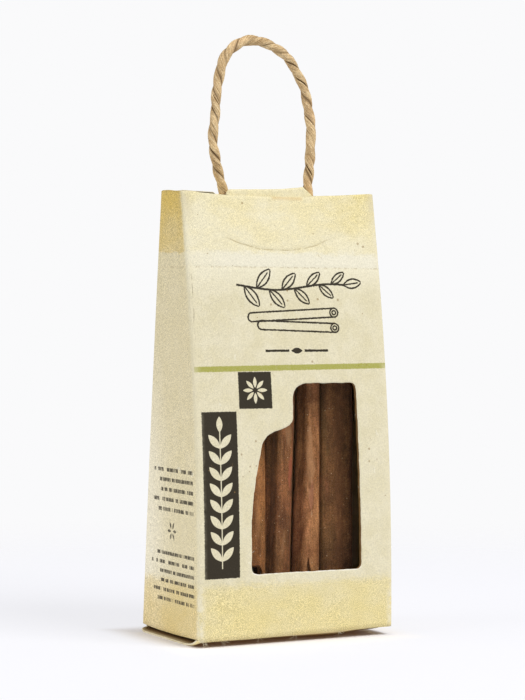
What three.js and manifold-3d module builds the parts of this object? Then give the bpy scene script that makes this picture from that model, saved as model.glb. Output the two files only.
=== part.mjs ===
import * as THREE from 'three';
import { mergeVertices } from 'three/addons/utils/BufferGeometryUtils.js';
import Module from 'manifold-3d';

// A shut card pack of cinnamon quills. The pack is one folded sheet of card: four walls whose depth tapers
// towards the top, a bottom panel that sags below the walls, and a lid that tucks in behind the front wall.
// A clear film closes the window from inside, and a twisted paper cord is knotted through the lid.
// Lengths are in millimetres. +Z is up, the front faces -Y, and the origin is the middle of the base, on
// the surface that the pack stands on.

// Walls of the pack
const PACK_WIDTH = 63.3;
const BASE_DEPTH = 38.5;
const TOP_DEPTH = 14.5;
const FOOT_Z = 2.3;
const SHOULDER_Z = 130.5;
const FRONT_BOW = 3.3;
const BACK_BOW = 0.5;
const CARD = 0.7;
const TUCK_GAP = 0.35;
const WALL_STEPS = 12;
// How much wider and deeper the filled pack stands than its fold lines
const FULLNESS = 1.012;

// Bottom closure. PANEL_SAG holds the handles of the panel's sag as [distance back from the front wall, z],
// and PANEL_RISE those of its rise as [distance back from its tuck flap, z].
const PANEL_SAG = [[0, 2.6], [0, 1], [4.5, 0.75], [11.3, 0]];
const PANEL_RISE = [[-1.6, 0], [0.95, 0], [0.95, 1.2], [0, FOOT_Z]];
const PANEL_STEPS = 9;
const BOTTOM_RIGHT_INSET = 4;
const BOTTOM_TUCK_HEIGHT = 12;
const BOTTOM_TUCK_INSET = 2.2;
const BOTTOM_TUCK_OVERLAP = 0.6;
const DUST_FLAP_REACH = 14;
const DUST_FLAP_HALF_DEPTH = 16.8;
const DUST_FLAP_DROP = 0.3;

// Lid, with a tongue that stands up between the two ends of the handle. TONGUE_FOLD holds the handles of
// the tongue's fold as [distance back from its tuck flap, height above the shoulder].
const TONGUE_LEFT = -16.5;
const TONGUE_RIGHT = 10.1;
const TONGUE_RISE = 2.1;
const TONGUE_CHAMFER = 1.9;
const TONGUE_CHAMFER_LIFT = 0.2;
const TONGUE_FOLD = [[0, 0.6], [0, TONGUE_RISE], [1, TONGUE_RISE], [3.2, 2]];
const TONGUE_FOLD_STEPS = 5;
const LID_DROP = 0.2;
const LID_SLIT = 0.3;
const TUCK_LEFT = -20;
const TUCK_RIGHT = 16.2;
const TUCK_LIP_Z = 114.7;
const TUCK_SIDE_Z = 119.5;
const TUCK_SHOULDER_Z = 128.8;
const TUCK_LIP_FULLNESS = 3;

// Window in the front wall, and the film behind it. The right side leans in by WINDOW_LEAN at its top, and
// WINDOW_STEP holds the [x, z] handles of the three curves that lead from the window's inner upright out and
// down to its left side.
const WINDOW_LEFT = -14.9;
const WINDOW_STEP_X = -0.4;
const WINDOW_RIGHT = 21.1;
const WINDOW_LEAN = 0.35;
const WINDOW_BOTTOM = 20.3;
const WINDOW_TOP = 75;
const WINDOW_STEP_TOP = 65.6;
const WINDOW_STEP = [
  [[WINDOW_STEP_X, 63.2], [-2.2, 62.4], [-5, 61.6]],
  [[-8.2, 60.8], [-9.9, 59.8], [-10.8, 57.4]],
  [[-12.7, 50.2], [WINDOW_LEFT, 41], [WINDOW_LEFT, 31]],
];
const WINDOW_CORNER = 2;
const WINDOW_TOP_CORNER = 5.3;
const FILM = 0.4;
const FILM_GAP = 0.3;
const FILM_MARGIN = 5;

// Handle: the middle line of the cord, as [x, z] points in the plane y = 0
const CORD_DIAMETER = 2.9;
const CORD_SIDES = 10;
const CORD_STEPS = 64;
const CORD_HOLE_CLEARANCE = 0.35;
const KNOT_RADIUS = 2.5;
const KNOT_HEIGHT = 5;
const KNOT_STEPS = 8;
const CORD_ROUTE = [
  [-14.2, 121.5], [-14.4, 126], [-14.9, 130.5], [-16.7, 137.1], [-18.1, 142.8], [-18.4, 147.7],
  [-17.7, 154.7], [-17.2, 160.9], [-16.3, 166.3], [-14.7, 170.5], [-11.7, 174], [-8.5, 175.8],
  [-5, 176.1], [-1, 175.6], [3.3, 173.8], [7.1, 170.9], [10.9, 165.3], [12.7, 160.3], [13.9, 154.9],
  [14.4, 149.9], [14.2, 143.5], [13.7, 137.7], [13.4, 133.8], [13.5, 130], [13.6, 126], [13.6, 121.5],
];

// Quills: each is one sheet of bark rolled inwards from its free edge. foot and head are the [x, y] places
// of its axis at its two ends, taper is the share of its width that it loses on the way up, and free_edge is
// the direction of the free edge, in degrees from +X. facets are its flattened sides, each as [direction,
// distance from the axis].
const BARK = 0.8;
const ROLL_PITCH = 1.15;
const ROLL_TURNS = 1.75;
const ROLL_STEPS = 56;
const FACET_LIMIT = 0.1;
const QUILL_FOOT_Z = 3.2;
const QUILLS = [
  {
    radius: 4.3, foot: [-12.1, -13.1], head: [-9.5, -6.3], length: 99, taper: 0, free_edge: -38, facets: [],
    torn: true,
  },
  {
    radius: 5.2, foot: [-2.7, -8.6], head: [0.45, -7.1], length: 91, taper: 0, free_edge: 130,
    facets: [[-145, 4], [-69, 4.25]], torn: false,
  },
  {
    radius: 4.75, foot: [7.5, -8.7], head: [12.95, -2.3], length: 102, taper: 0.36, free_edge: -36,
    facets: [[-154, 4], [-80, 4.2]], torn: false,
  },
  {
    radius: 6.25, foot: [18.2, -7.7], head: [22.2, -0.8], length: 97, taper: 0, free_edge: -46,
    facets: [[-95, 4.1]], torn: false,
  },
];
const TEAR_HEIGHT = 19.5;
const TEAR_RIGHT = -9.4;
const TEAR_SLOPE = 0.5;

const CUT_MARGIN = 1;
const WELD = 1e-4;
const CURVE_SEGMENTS = 8;
const AXIS_X = new THREE.Vector3(1, 0, 0);
const AXIS_Y = new THREE.Vector3(0, 1, 0);
const AXIS_Z = new THREE.Vector3(0, 0, 1);

const wasm = await Module();
wasm.setup();

// A closed three.js geometry as a solid that can be joined and cut.
function toSolid(geometry) {
  const bare = geometry.clone();
  bare.deleteAttribute('normal');
  bare.deleteAttribute('uv');
  const welded = mergeVertices(bare, WELD);
  return new wasm.Manifold(new wasm.Mesh({
    numProp: 3,
    vertProperties: new Float32Array(welded.attributes.position.array),
    triVerts: new Uint32Array(welded.index.array),
  }));
}

function toGeometry(solid) {
  const mesh = solid.getMesh();
  const geometry = new THREE.BufferGeometry();
  geometry.setAttribute('position', new THREE.BufferAttribute(mesh.vertProperties, 3));
  geometry.setIndex(new THREE.BufferAttribute(mesh.triVerts, 1));
  geometry.computeVertexNormals();
  return geometry;
}

// An outline of [y, z] points pushed along X between two stations.
function alongX(outline, from, to) {
  const shape = new THREE.Shape(outline.map(([y, z]) => new THREE.Vector2(y, z)));
  const geometry = new THREE.ExtrudeGeometry(shape, { depth: to - from, bevelEnabled: false });
  geometry.applyMatrix4(new THREE.Matrix4().makeBasis(AXIS_Y, AXIS_Z, AXIS_X));
  geometry.translate(from, 0, 0);
  return toSolid(geometry);
}

// A shape in X and Z pushed along Y between two stations.
function alongY(shape, from, to) {
  const options = { depth: to - from, bevelEnabled: false, curveSegments: CURVE_SEGMENTS };
  const geometry = new THREE.ExtrudeGeometry(shape, options);
  geometry.applyMatrix4(new THREE.Matrix4().makeBasis(AXIS_X, AXIS_Z, AXIS_Y.clone().negate()));
  geometry.translate(0, to, 0);
  return toSolid(geometry);
}

function block(x0, x1, y0, y1, z0, z1) {
  const geometry = new THREE.BoxGeometry(x1 - x0, y1 - y0, z1 - z0);
  geometry.translate((x0 + x1) / 2, (y0 + y1) / 2, (z0 + z1) / 2);
  return toSolid(geometry);
}

// Where the outer face of the front (side -1) or back (side 1) wall is at a height.
function wallY(side, z) {
  const t = (z - FOOT_Z) / (SHOULDER_Z - FOOT_Z);
  const bow = side < 0 ? FRONT_BOW : BACK_BOW;
  return side * (BASE_DEPTH / 2 + (TOP_DEPTH - BASE_DEPTH) / 2 * t + 4 * bow * t * (1 - t));
}

// Points up one wall, a given distance inside its outer face.
function wallLine(side, inset, z0, z1) {
  const points = [];
  for (let i = 0; i <= WALL_STEPS; i += 1) {
    const z = z0 + (z1 - z0) * i / WALL_STEPS;
    points.push([wallY(side, z) - side * inset, z]);
  }
  return points;
}

// The closed outline of a strip of card whose outer side runs along the given [y, z] points.
function stripOutline(points, thickness) {
  const inner = points.map(([y, z], i) => {
    const [y0, z0] = points[Math.max(i - 1, 0)];
    const [y1, z1] = points[Math.min(i + 1, points.length - 1)];
    const run = Math.hypot(y1 - y0, z1 - z0);
    return [y - (z1 - z0) / run * thickness, z + (y1 - y0) / run * thickness];
  });
  return [...points, ...inner.reverse()];
}

function windowShape() {
  const shape = new THREE.Shape();
  const bottom = WINDOW_BOTTOM;
  const topRight = WINDOW_RIGHT - WINDOW_LEAN;
  shape.moveTo(WINDOW_LEFT + WINDOW_CORNER, bottom);
  shape.lineTo(WINDOW_RIGHT - WINDOW_CORNER, bottom);
  shape.quadraticCurveTo(WINDOW_RIGHT, bottom, WINDOW_RIGHT, bottom + WINDOW_CORNER);
  shape.lineTo(topRight, WINDOW_TOP - WINDOW_CORNER);
  shape.quadraticCurveTo(topRight, WINDOW_TOP, topRight - WINDOW_CORNER, WINDOW_TOP);
  shape.lineTo(WINDOW_STEP_X + WINDOW_TOP_CORNER, WINDOW_TOP);
  shape.quadraticCurveTo(WINDOW_STEP_X, WINDOW_TOP, WINDOW_STEP_X, WINDOW_TOP - WINDOW_TOP_CORNER);
  shape.lineTo(WINDOW_STEP_X, WINDOW_STEP_TOP);
  for (const handles of WINDOW_STEP) shape.bezierCurveTo(...handles.flat());
  shape.lineTo(WINDOW_LEFT, bottom + WINDOW_CORNER);
  shape.quadraticCurveTo(WINDOW_LEFT, bottom, WINDOW_LEFT + WINDOW_CORNER, bottom);
  return shape;
}

function cordGeometry(radius) {
  const route = new THREE.CatmullRomCurve3(CORD_ROUTE.map(([x, z]) => new THREE.Vector3(x, 0, z)));
  const section = new THREE.Shape();
  for (let i = 0; i < CORD_SIDES; i += 1) {
    const angle = 2 * Math.PI * i / CORD_SIDES;
    const point = [radius * Math.cos(angle), radius * Math.sin(angle)];
    if (i === 0) section.moveTo(...point);
    else section.lineTo(...point);
  }
  return new THREE.ExtrudeGeometry(section, { steps: CORD_STEPS, extrudePath: route, bevelEnabled: false });
}

// Four walls: the tapering outer form less its inside.
function walls() {
  const half = PACK_WIDTH / 2;
  const outer = [...wallLine(-1, 0, FOOT_Z, SHOULDER_Z), ...wallLine(1, 0, FOOT_Z, SHOULDER_Z).reverse()];
  const low = FOOT_Z - CUT_MARGIN;
  const high = SHOULDER_Z + CUT_MARGIN;
  const inner = [...wallLine(-1, CARD, low, high), ...wallLine(1, CARD, low, high).reverse()];
  return alongX(outer, -half, half).subtract(alongX(inner, CARD - half, half - CARD));
}

// Points along the curve of four [distance back, z] handles, moved back to where it starts.
function foldLine(handles, start, lift, steps) {
  const curve = new THREE.CubicBezierCurve(...handles.map(([y, z]) => new THREE.Vector2(start + y, lift + z)));
  return curve.getPoints(steps).map((p) => [p.x, p.y]);
}

// The bottom panel folds back from the front wall's foot, sags to the surface below and turns up at the
// back, where its tuck flap stands inside the back wall.
function bottomPanel() {
  const half = PACK_WIDTH / 2;
  const back = wallY(1, FOOT_Z) - CARD - TUCK_GAP;
  const tuckTop = wallY(1, BOTTOM_TUCK_HEIGHT) - CARD - TUCK_GAP;
  const line = [
    ...foldLine(PANEL_SAG, -BASE_DEPTH / 2, 0, PANEL_STEPS), ...foldLine(PANEL_RISE, back, 0, PANEL_STEPS),
  ];
  const tuck = [[back, FOOT_Z - BOTTOM_TUCK_OVERLAP], [back, FOOT_Z], [tuckTop, BOTTOM_TUCK_HEIGHT]];
  const right = half - BOTTOM_RIGHT_INSET;
  const panel = alongX(stripOutline(line, CARD), -half, right);
  const flap = alongX(stripOutline(tuck, CARD), BOTTOM_TUCK_INSET - half, right - BOTTOM_TUCK_INSET);
  return panel.add(flap);
}

// The two short flaps that fold in from the feet of the side walls.
function dustFlaps() {
  const half = PACK_WIDTH / 2;
  const depth = DUST_FLAP_HALF_DEPTH;
  const low = FOOT_Z - DUST_FLAP_DROP;
  const left = block(-half, DUST_FLAP_REACH - half, -depth, depth, low, low + CARD);
  const right = block(half - DUST_FLAP_REACH, half, -depth, depth, low, low + CARD);
  return left.add(right);
}

// The lid lies flat beside the tongue. The tongue rises to the front, folds over and goes down behind the
// front wall as a wide flap with a round lip.
function lid() {
  const half = PACK_WIDTH / 2;
  const back = wallY(1, SHOULDER_Z);
  const front = wallY(-1, SHOULDER_Z) + CARD + TUCK_GAP;
  const flatTop = SHOULDER_Z - LID_DROP;
  const left = block(-half, TONGUE_LEFT - LID_SLIT, front, back, flatTop - CARD, flatTop);
  const right = block(TONGUE_RIGHT + LID_SLIT, half, front, back, flatTop - CARD, flatTop);
  const down = wallLine(-1, CARD + TUCK_GAP, TUCK_LIP_Z - CUT_MARGIN, SHOULDER_Z - CUT_MARGIN);
  const crest = SHOULDER_Z + TONGUE_RISE;
  const fold = foldLine(TONGUE_FOLD, front, SHOULDER_Z, TONGUE_FOLD_STEPS);
  const line = [...down, ...fold, [back - LID_DROP, flatTop]];
  const strip = alongX(stripOutline(line, -CARD), TUCK_LEFT, TUCK_RIGHT);
  const shape = new THREE.Shape();
  const middle = (TUCK_LEFT + TUCK_RIGHT) / 2;
  shape.moveTo(TONGUE_LEFT, crest + CUT_MARGIN);
  shape.lineTo(TONGUE_LEFT, SHOULDER_Z - CARD);
  shape.lineTo(TUCK_LEFT, TUCK_SHOULDER_Z);
  shape.lineTo(TUCK_LEFT, TUCK_SIDE_Z);
  shape.quadraticCurveTo((TUCK_LEFT + middle) / 2 - TUCK_LIP_FULLNESS, TUCK_LIP_Z, middle, TUCK_LIP_Z);
  shape.quadraticCurveTo((TUCK_RIGHT + middle) / 2 + TUCK_LIP_FULLNESS, TUCK_LIP_Z, TUCK_RIGHT, TUCK_SIDE_Z);
  shape.lineTo(TUCK_RIGHT, TUCK_SHOULDER_Z);
  shape.lineTo(TONGUE_RIGHT, SHOULDER_Z - CARD);
  shape.lineTo(TONGUE_RIGHT, SHOULDER_Z);
  shape.lineTo(TONGUE_RIGHT - TONGUE_CHAMFER, crest + TONGUE_CHAMFER_LIFT);
  shape.lineTo(TONGUE_RIGHT - TONGUE_CHAMFER, crest + CUT_MARGIN);
  const tongue = strip.intersect(alongY(shape, -BASE_DEPTH, BASE_DEPTH));
  return left.add(right).add(tongue);
}

function carton() {
  const cordHoles = toSolid(cordGeometry(CORD_DIAMETER / 2 + CORD_HOLE_CLEARANCE));
  const windowCut = alongY(windowShape(), -BASE_DEPTH, wallY(-1, WINDOW_TOP) + CARD + CUT_MARGIN);
  const folded = walls().subtract(windowCut).add(bottomPanel()).add(dustFlaps()).add(lid());
  return folded.scale([FULLNESS, FULLNESS, 1]).subtract(cordHoles);
}

function windowFilm() {
  const low = WINDOW_BOTTOM - FILM_MARGIN;
  const high = WINDOW_TOP + FILM_MARGIN;
  const outerSide = wallLine(-1, CARD + FILM_GAP, low, high);
  const innerSide = wallLine(-1, CARD + FILM_GAP + FILM, low, high);
  return alongX([...outerSide, ...innerSide.reverse()], WINDOW_LEFT - FILM_MARGIN, WINDOW_RIGHT + FILM_MARGIN);
}

// The cord with a stopper knot at each end, under the lid.
function handle() {
  const knotProfile = [];
  for (let i = 0; i <= KNOT_STEPS; i += 1) {
    const angle = Math.PI * i / KNOT_STEPS - Math.PI / 2;
    knotProfile.push(new THREE.Vector2(KNOT_RADIUS * Math.cos(angle), KNOT_HEIGHT / 2 * Math.sin(angle)));
  }
  let body = toSolid(cordGeometry(CORD_DIAMETER / 2));
  for (const [x, z] of [CORD_ROUTE[0], CORD_ROUTE[CORD_ROUTE.length - 1]]) {
    const knot = new THREE.LatheGeometry(knotProfile, CORD_SIDES);
    knot.rotateX(Math.PI / 2);
    knot.translate(x, 0, z + KNOT_HEIGHT / 2);
    body = body.add(toSolid(knot));
  }
  return body;
}

// How far the outer face of a quill is from its axis in one direction.
function sectionReach(radius, facets, angle) {
  const reaches = facets.map(([direction, distance]) => {
    const facing = Math.cos(angle - THREE.MathUtils.degToRad(direction));
    return facing > FACET_LIMIT ? distance / facing : radius;
  });
  return Math.min(radius, ...reaches);
}

// The section of a rolled sheet, from its free edge inwards.
function rollShape(radius, facets, freeEdge) {
  const outer = [];
  const inner = [];
  for (let i = 0; i <= ROLL_STEPS; i += 1) {
    const turned = ROLL_TURNS * 2 * Math.PI * i / ROLL_STEPS;
    const angle = THREE.MathUtils.degToRad(freeEdge) - turned;
    const reach = sectionReach(radius, facets, angle) - ROLL_PITCH * turned / (2 * Math.PI);
    outer.push(new THREE.Vector2(reach * Math.cos(angle), reach * Math.sin(angle)));
    inner.push(new THREE.Vector2((reach - BARK) * Math.cos(angle), (reach - BARK) * Math.sin(angle)));
  }
  return new THREE.Shape([...outer, ...inner.reverse()]);
}

function quill({ radius, foot, head, length, taper, free_edge: freeEdge, facets, torn }) {
  const section = rollShape(radius, facets, freeEdge);
  const roll = new THREE.ExtrudeGeometry(section, { depth: length, bevelEnabled: false });
  const spots = roll.attributes.position;
  for (let i = 0; i < spots.count; i += 1) {
    const width = 1 - taper * spots.getZ(i) / length;
    spots.setXY(i, spots.getX(i) * width, spots.getY(i) * width);
  }
  const lean = new THREE.Matrix4();
  const slope = [(head[0] - foot[0]) / length, (head[1] - foot[1]) / length];
  lean.set(1, 0, slope[0], foot[0], 0, 1, slope[1], foot[1], 0, 0, 1, QUILL_FOOT_Z, 0, 0, 0, 1);
  roll.applyMatrix4(lean);
  if (!torn) return toSolid(roll);
  const tear = new THREE.Shape();
  tear.moveTo(-PACK_WIDTH / 2, 0);
  tear.lineTo(TEAR_RIGHT, 0);
  tear.lineTo(TEAR_RIGHT, TEAR_HEIGHT);
  tear.lineTo(-PACK_WIDTH / 2, TEAR_HEIGHT - TEAR_SLOPE * (-PACK_WIDTH / 2 - TEAR_RIGHT));
  return toSolid(roll).subtract(alongY(tear, -BASE_DEPTH, foot[1]));
}

function add(group, name, solid, finish) {
  const mesh = new THREE.Mesh(toGeometry(solid), new THREE.MeshStandardMaterial(finish));
  mesh.name = name;
  group.add(mesh);
}

const group = new THREE.Group();
add(group, 'carton', carton(), { color: 0xe6dcc0, roughness: 0.9, metalness: 0, side: THREE.DoubleSide });
add(group, 'window_film', windowFilm(), {
  color: 0xf4f2ea, roughness: 0.08, metalness: 0, transparent: true, opacity: 0.2,
});
add(group, 'handle', handle(), { color: 0xb99e77, roughness: 0.85, metalness: 0 });
QUILLS.forEach((size, i) => {
  add(group, `quill_${i + 1}`, quill(size), { color: 0x8c5a38, roughness: 0.8, metalness: 0 });
});

export default group;
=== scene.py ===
import math
from functools import partial, reduce

import bpy
import numpy as np
from mathutils import Matrix, Vector, geometry, noise


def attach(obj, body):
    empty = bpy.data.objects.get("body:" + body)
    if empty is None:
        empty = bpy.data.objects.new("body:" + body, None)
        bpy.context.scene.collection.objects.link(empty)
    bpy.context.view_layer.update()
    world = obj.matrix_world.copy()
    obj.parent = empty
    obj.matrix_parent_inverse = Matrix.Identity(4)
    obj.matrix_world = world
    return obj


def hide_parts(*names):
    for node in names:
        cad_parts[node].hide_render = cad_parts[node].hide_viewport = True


# A shut card pack of cinnamon sticks: folded flecked card, a film window and a twisted paper cord handle.
# +Z is up, the front faces -Y, and the pack stands on z = 0.
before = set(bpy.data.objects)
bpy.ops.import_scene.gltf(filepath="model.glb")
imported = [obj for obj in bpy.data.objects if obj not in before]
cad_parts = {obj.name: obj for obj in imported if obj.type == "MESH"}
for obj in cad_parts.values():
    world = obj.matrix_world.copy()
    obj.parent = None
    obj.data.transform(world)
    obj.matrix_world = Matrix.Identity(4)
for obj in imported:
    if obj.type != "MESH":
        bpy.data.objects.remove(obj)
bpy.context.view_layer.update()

# ---------------------------------------------------------------------------------------------------------
# Camera. It stands to the left of the front, a little above the middle of the pack, and looks almost level.
# The picture is 525 x 700, so the lens angle is set on the long, upright side. All sizes here are in
# millimetres, and MM turns them into the scene's metres.
MM = 0.001
CAMERA_TURN = math.radians(-27.76)
CAMERA_RISE = math.radians(0.96)
CAMERA_ROLL = math.radians(0.2)
CAMERA_DISTANCE = 655.5
CAMERA_AIM = Vector((-1.38, 0.73, 84.5))
FOCAL_IN_PIXELS = 2200
PICTURE_HEIGHT = 700
SENSOR = 36

away = Vector((
    math.sin(CAMERA_TURN) * math.cos(CAMERA_RISE),
    -math.cos(CAMERA_TURN) * math.cos(CAMERA_RISE),
    math.sin(CAMERA_RISE),
))
level = Vector((math.cos(CAMERA_TURN), math.sin(CAMERA_TURN), 0))
upright = away.cross(level)
right = level * math.cos(CAMERA_ROLL) + upright * math.sin(CAMERA_ROLL)
up = upright * math.cos(CAMERA_ROLL) - level * math.sin(CAMERA_ROLL)
lens = bpy.data.cameras.new("camera")
lens.sensor_width = SENSOR
lens.lens = FOCAL_IN_PIXELS * SENSOR / PICTURE_HEIGHT
lens.clip_start = 0.01
camera = bpy.data.objects.new("camera", lens)
bpy.context.scene.collection.objects.link(camera)
camera.matrix_world = (
    Matrix.Translation((CAMERA_AIM + away * CAMERA_DISTANCE) * MM)
    @ Matrix((right, up, away)).transposed().to_4x4()
)
bpy.context.scene.camera = camera

# ---------------------------------------------------------------------------------------------------------
# Handle. A strip of kraft paper twisted hard into a cord 2.9 mm thick, bent into a loop. Both ends go through
# the lid and are knotted under it. The twist leaves two uneven valleys that wind round the cord, fine pleats
# between them, and a few places where a fold of the paper gapes.
CORD_ROUTE = [
    (-14.2, 121.5), (-14.4, 126), (-14.9, 130.5), (-16.7, 137.1), (-18.1, 142.8), (-18.4, 147.7),
    (-17.7, 154.7), (-17.2, 160.9), (-16.3, 166.3), (-14.7, 170.5), (-11.7, 174), (-8.5, 175.8),
    (-5, 176.1), (-1, 175.6), (3.3, 173.8), (7.1, 170.9), (10.9, 165.3), (12.7, 160.3), (13.9, 154.9),
    (14.4, 149.9), (14.2, 143.5), (13.7, 137.7), (13.4, 133.8), (13.5, 130), (13.6, 126), (13.6, 121.5),
]
CORD_RADIUS = 1.5
CORD_STEP = 0.16
CORD_AROUND = 64
ROUTE_SPLITS = 40
TWIST_PITCH = 11.4
TWIST_DRIFT = 0.6
VALLEY_ANGLE = 2.84
VALLEY_DEPTH = 0.24
VALLEY_SHARPNESS = 1.5
PLEATS = 15
PLEAT_DEPTH = 0.12
PLEAT_WIDTH = 0.09
# Gaping folds: how far along the cord, the angle round it in degrees, half the length and the depth
GAPING_FOLDS = [(82.4, 65, 2.1, 0.55), (109.0, 46, 1.9, 0.5), (62.9, 90, 1.5, 0.32), (36.5, 100, 2.4, 0.34),
                (28.5, 105, 2.0, 0.25), (94.5, 60, 2.2, 0.3), (18.2, 110, 1.8, 0.3)]
GAP_WIDTH = 0.13
# Slow changes of its thickness, its paper's small wrinkles, and how far it wanders to each side
CORD_SWELL, CORD_LUMPS, CORD_WRINKLES, CORD_OVAL = 0.11, 0.05, 0.035, 0.05
CORD_WINDING, CORD_SWAY = 0.08, 0.1
KNOT_RADIUS = 2.4
KNOT_LENGTH = 5.0
# The cord has painted shade where it comes out of the lid
LID_LEVEL = 130.4
LID_SHADE = 0.45
CORD_SEED = 11


def srgb(red, green, blue):
    """A colour given as screen values from 0 to 255, as the linear colour that sockets take."""
    shares = [value / 255 for value in (red, green, blue)]
    return [((share + 0.055) / 1.055) ** 2.4 if share > 0.04045 else share / 12.92 for share in shares] + [1.0]


def noise_at(*spot):
    """Smooth noise from about -1 to 1 at a place given by up to three numbers."""
    return noise.noise(Vector(tuple(spot) + (0.0,) * (3 - len(spot))))


def smooth_route(points, step):
    """Even steps along the smooth curve through the points."""
    p = np.array(points, float)
    p = np.vstack([2 * p[0] - p[1], p, 2 * p[-1] - p[-2]])
    curve = []
    for a, b, c, d in zip(p[:-3], p[1:-2], p[2:-1], p[3:]):
        for t in np.linspace(0, 1, ROUTE_SPLITS, endpoint=False):
            curve.append(0.5 * (2 * b + (c - a) * t + (2 * a - 5 * b + 4 * c - d) * t**2
                                + (3 * b - a - 3 * c + d) * t**3))
    curve = np.array(curve + [p[-2]])
    along = np.concatenate([[0], np.cumsum(np.linalg.norm(np.diff(curve, axis=0), axis=1))])
    wanted = np.linspace(0, along[-1], int(along[-1] / step) + 1)
    return wanted, np.column_stack([np.interp(wanted, along, curve[:, i]) for i in range(curve.shape[1])])


def make_object(name, vertices, faces, smooth=True):
    """A mesh object from places in millimetres."""
    mesh = bpy.data.meshes.new(name)
    mesh.from_pydata([tuple(v) for v in np.asarray(vertices, float) * MM], [], faces)
    mesh.validate()
    mesh.update()
    mesh.polygons.foreach_set("use_smooth", [smooth] * len(mesh.polygons))
    made = bpy.data.objects.new(name, mesh)
    bpy.context.scene.collection.objects.link(made)
    return made


def tube_faces(rings, around, first=0):
    """Quads between rings of points, and a cap at both ends. first is the number of the first point."""
    faces = []
    for ring_start in range(first, first + (rings - 1) * around, around):
        for c in range(around):
            a, b = ring_start + c, ring_start + (c + 1) % around
            faces.append((a, b, b + around, a + around))
    faces.append(tuple(range(first, first + around))[::-1])
    faces.append(tuple(range(first + (rings - 1) * around, first + rings * around)))
    return faces


def store(made, name, values):
    """Keeps one number, or one place, for each vertex, for the material to read."""
    values = np.asarray(values, np.float32)
    if values.ndim == 1:
        made.data.attributes.new(name, "FLOAT", "POINT").data.foreach_set("value", values)
    else:
        made.data.attributes.new(name, "FLOAT_VECTOR", "POINT").data.foreach_set("vector", values.ravel())


def place_piece(made, slot, *nodes):
    """Puts a piece on the root body and hides the plain solids it stands for. slot, what it is made of, is not
    used.
    """
    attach(made, "root")
    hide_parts(*nodes)


def twist_at(s):
    """How far the paper has turned at a length along the cord."""
    return 2 * math.pi * s / TWIST_PITCH - TWIST_DRIFT * noise_at(s * 0.07, 3.1)


def angle_gap(a, b):
    """The angle from b to a, from minus to plus half a turn."""
    return (a - b + math.pi) % (2 * math.pi) - math.pi


def cord_mesh():
    """The twisted cord, ring by ring from knot to knot."""
    along, route = smooth_route(CORD_ROUTE, CORD_STEP)
    total = along[-1]
    step = np.gradient(route, axis=0)
    step /= np.linalg.norm(step, axis=1)[:, None]
    angles = np.linspace(0, 2 * math.pi, CORD_AROUND, endpoint=False)
    draw = np.random.default_rng(CORD_SEED)
    pleats = [(2 * math.pi * (i + draw.uniform(-0.35, 0.35)) / PLEATS, PLEAT_DEPTH * draw.uniform(0.4, 1.5),
               PLEAT_WIDTH * draw.uniform(0.7, 1.5)) for i in range(PLEATS)]
    vertices, crease_and_lid_shade, twisted = [], [], []
    for s, (x, z), (tx, tz) in zip(along, route, step):
        twist = twist_at(s)
        turned = angles - twist
        strength = 1 + 0.8 * noise_at(s * 0.13, 40.5)
        valley = 1 - np.abs(np.sin(turned - VALLEY_ANGLE))
        dent = VALLEY_DEPTH * strength * valley**VALLEY_SHARPNESS
        for i, (angle, depth, width) in enumerate(pleats):
            here = depth * (0.6 + 1.5 * noise_at(s * 0.15, i * 7.3))
            gap = angle_gap(turned, angle + 0.4 * noise_at(s * 0.12, i * 3.7))
            dent += max(here, 0) * np.exp(-np.abs(gap) / width)
        for at, angle, half, depth in GAPING_FOLDS:
            gap = angle_gap(turned, math.radians(angle) - twist_at(at))
            dent += depth * math.exp(-((s - at) / half) ** 4) * np.exp(-(gap / GAP_WIDTH) ** 2)
        swell = CORD_SWELL * noise_at(s * 0.12, 0.5) + CORD_LUMPS * noise_at(s * 0.5, 9.5)
        fine = np.array([CORD_WRINKLES * noise_at(3 * math.cos(t), 3 * math.sin(t), s * 0.9) for t in turned])
        radius = CORD_RADIUS + swell + fine - CORD_OVAL * np.cos(2 * (turned - VALLEY_ANGLE)) - dent
        end = min(s, total - s)
        if end < KNOT_LENGTH:
            bulge = math.sqrt(max(1 - (2 * end / KNOT_LENGTH - 1) ** 2, 0.003))
            thinned = radius * min(1, 4 * end / KNOT_LENGTH + 0.05)
            radius = np.maximum(thinned, KNOT_RADIUS * bulge - 0.6 * dent)
        winding = CORD_WINDING * (1 + noise_at(s * 0.1, 50.5))
        shift_x = winding * math.cos(twist + 0.6) + CORD_SWAY * noise_at(s * 0.11, 20.5)
        shift_y = winding * math.sin(twist + 0.6) + CORD_SWAY * noise_at(s * 0.11, 30.5)
        across = np.cos(angles) * radius + shift_x
        depth_y = shift_y - np.sin(angles) * radius
        vertices.append(np.column_stack([x + tz * across, depth_y, z - tx * across]))
        # Painted shade: the creases, the gaping folds and the cord just above the lid are marked to be
        # darkened
        shaded = np.exp(-max(z - LID_LEVEL, 0) / LID_SHADE)
        crease_and_lid_shade.append(np.clip(dent / 0.4 + 0.7 * shaded, 0, 1))
        twisted.append(np.column_stack([np.cos(turned), np.sin(turned), np.full(CORD_AROUND, s * 0.06)]))
    made = make_object("paper_cord_handle", np.vstack(vertices), tube_faces(len(vertices), CORD_AROUND))
    store(made, "crease", np.concatenate(crease_and_lid_shade))
    store(made, "twisted_place", np.vstack(twisted))
    return made


def new_material(name):
    """A material with its node tree and its Principled node."""
    material = bpy.data.materials.new(name)
    material.use_nodes = True
    return material, material.node_tree, material.node_tree.nodes["Principled BSDF"]


def feed(target, inputs):
    """Gives each socket of a node, by name or number, a plain value or another node's output."""
    for key, value in inputs.items():
        if isinstance(value, bpy.types.NodeSocket):
            value.id_data.links.new(value, target.inputs[key])
        else:
            target.inputs[key].default_value = value


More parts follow.
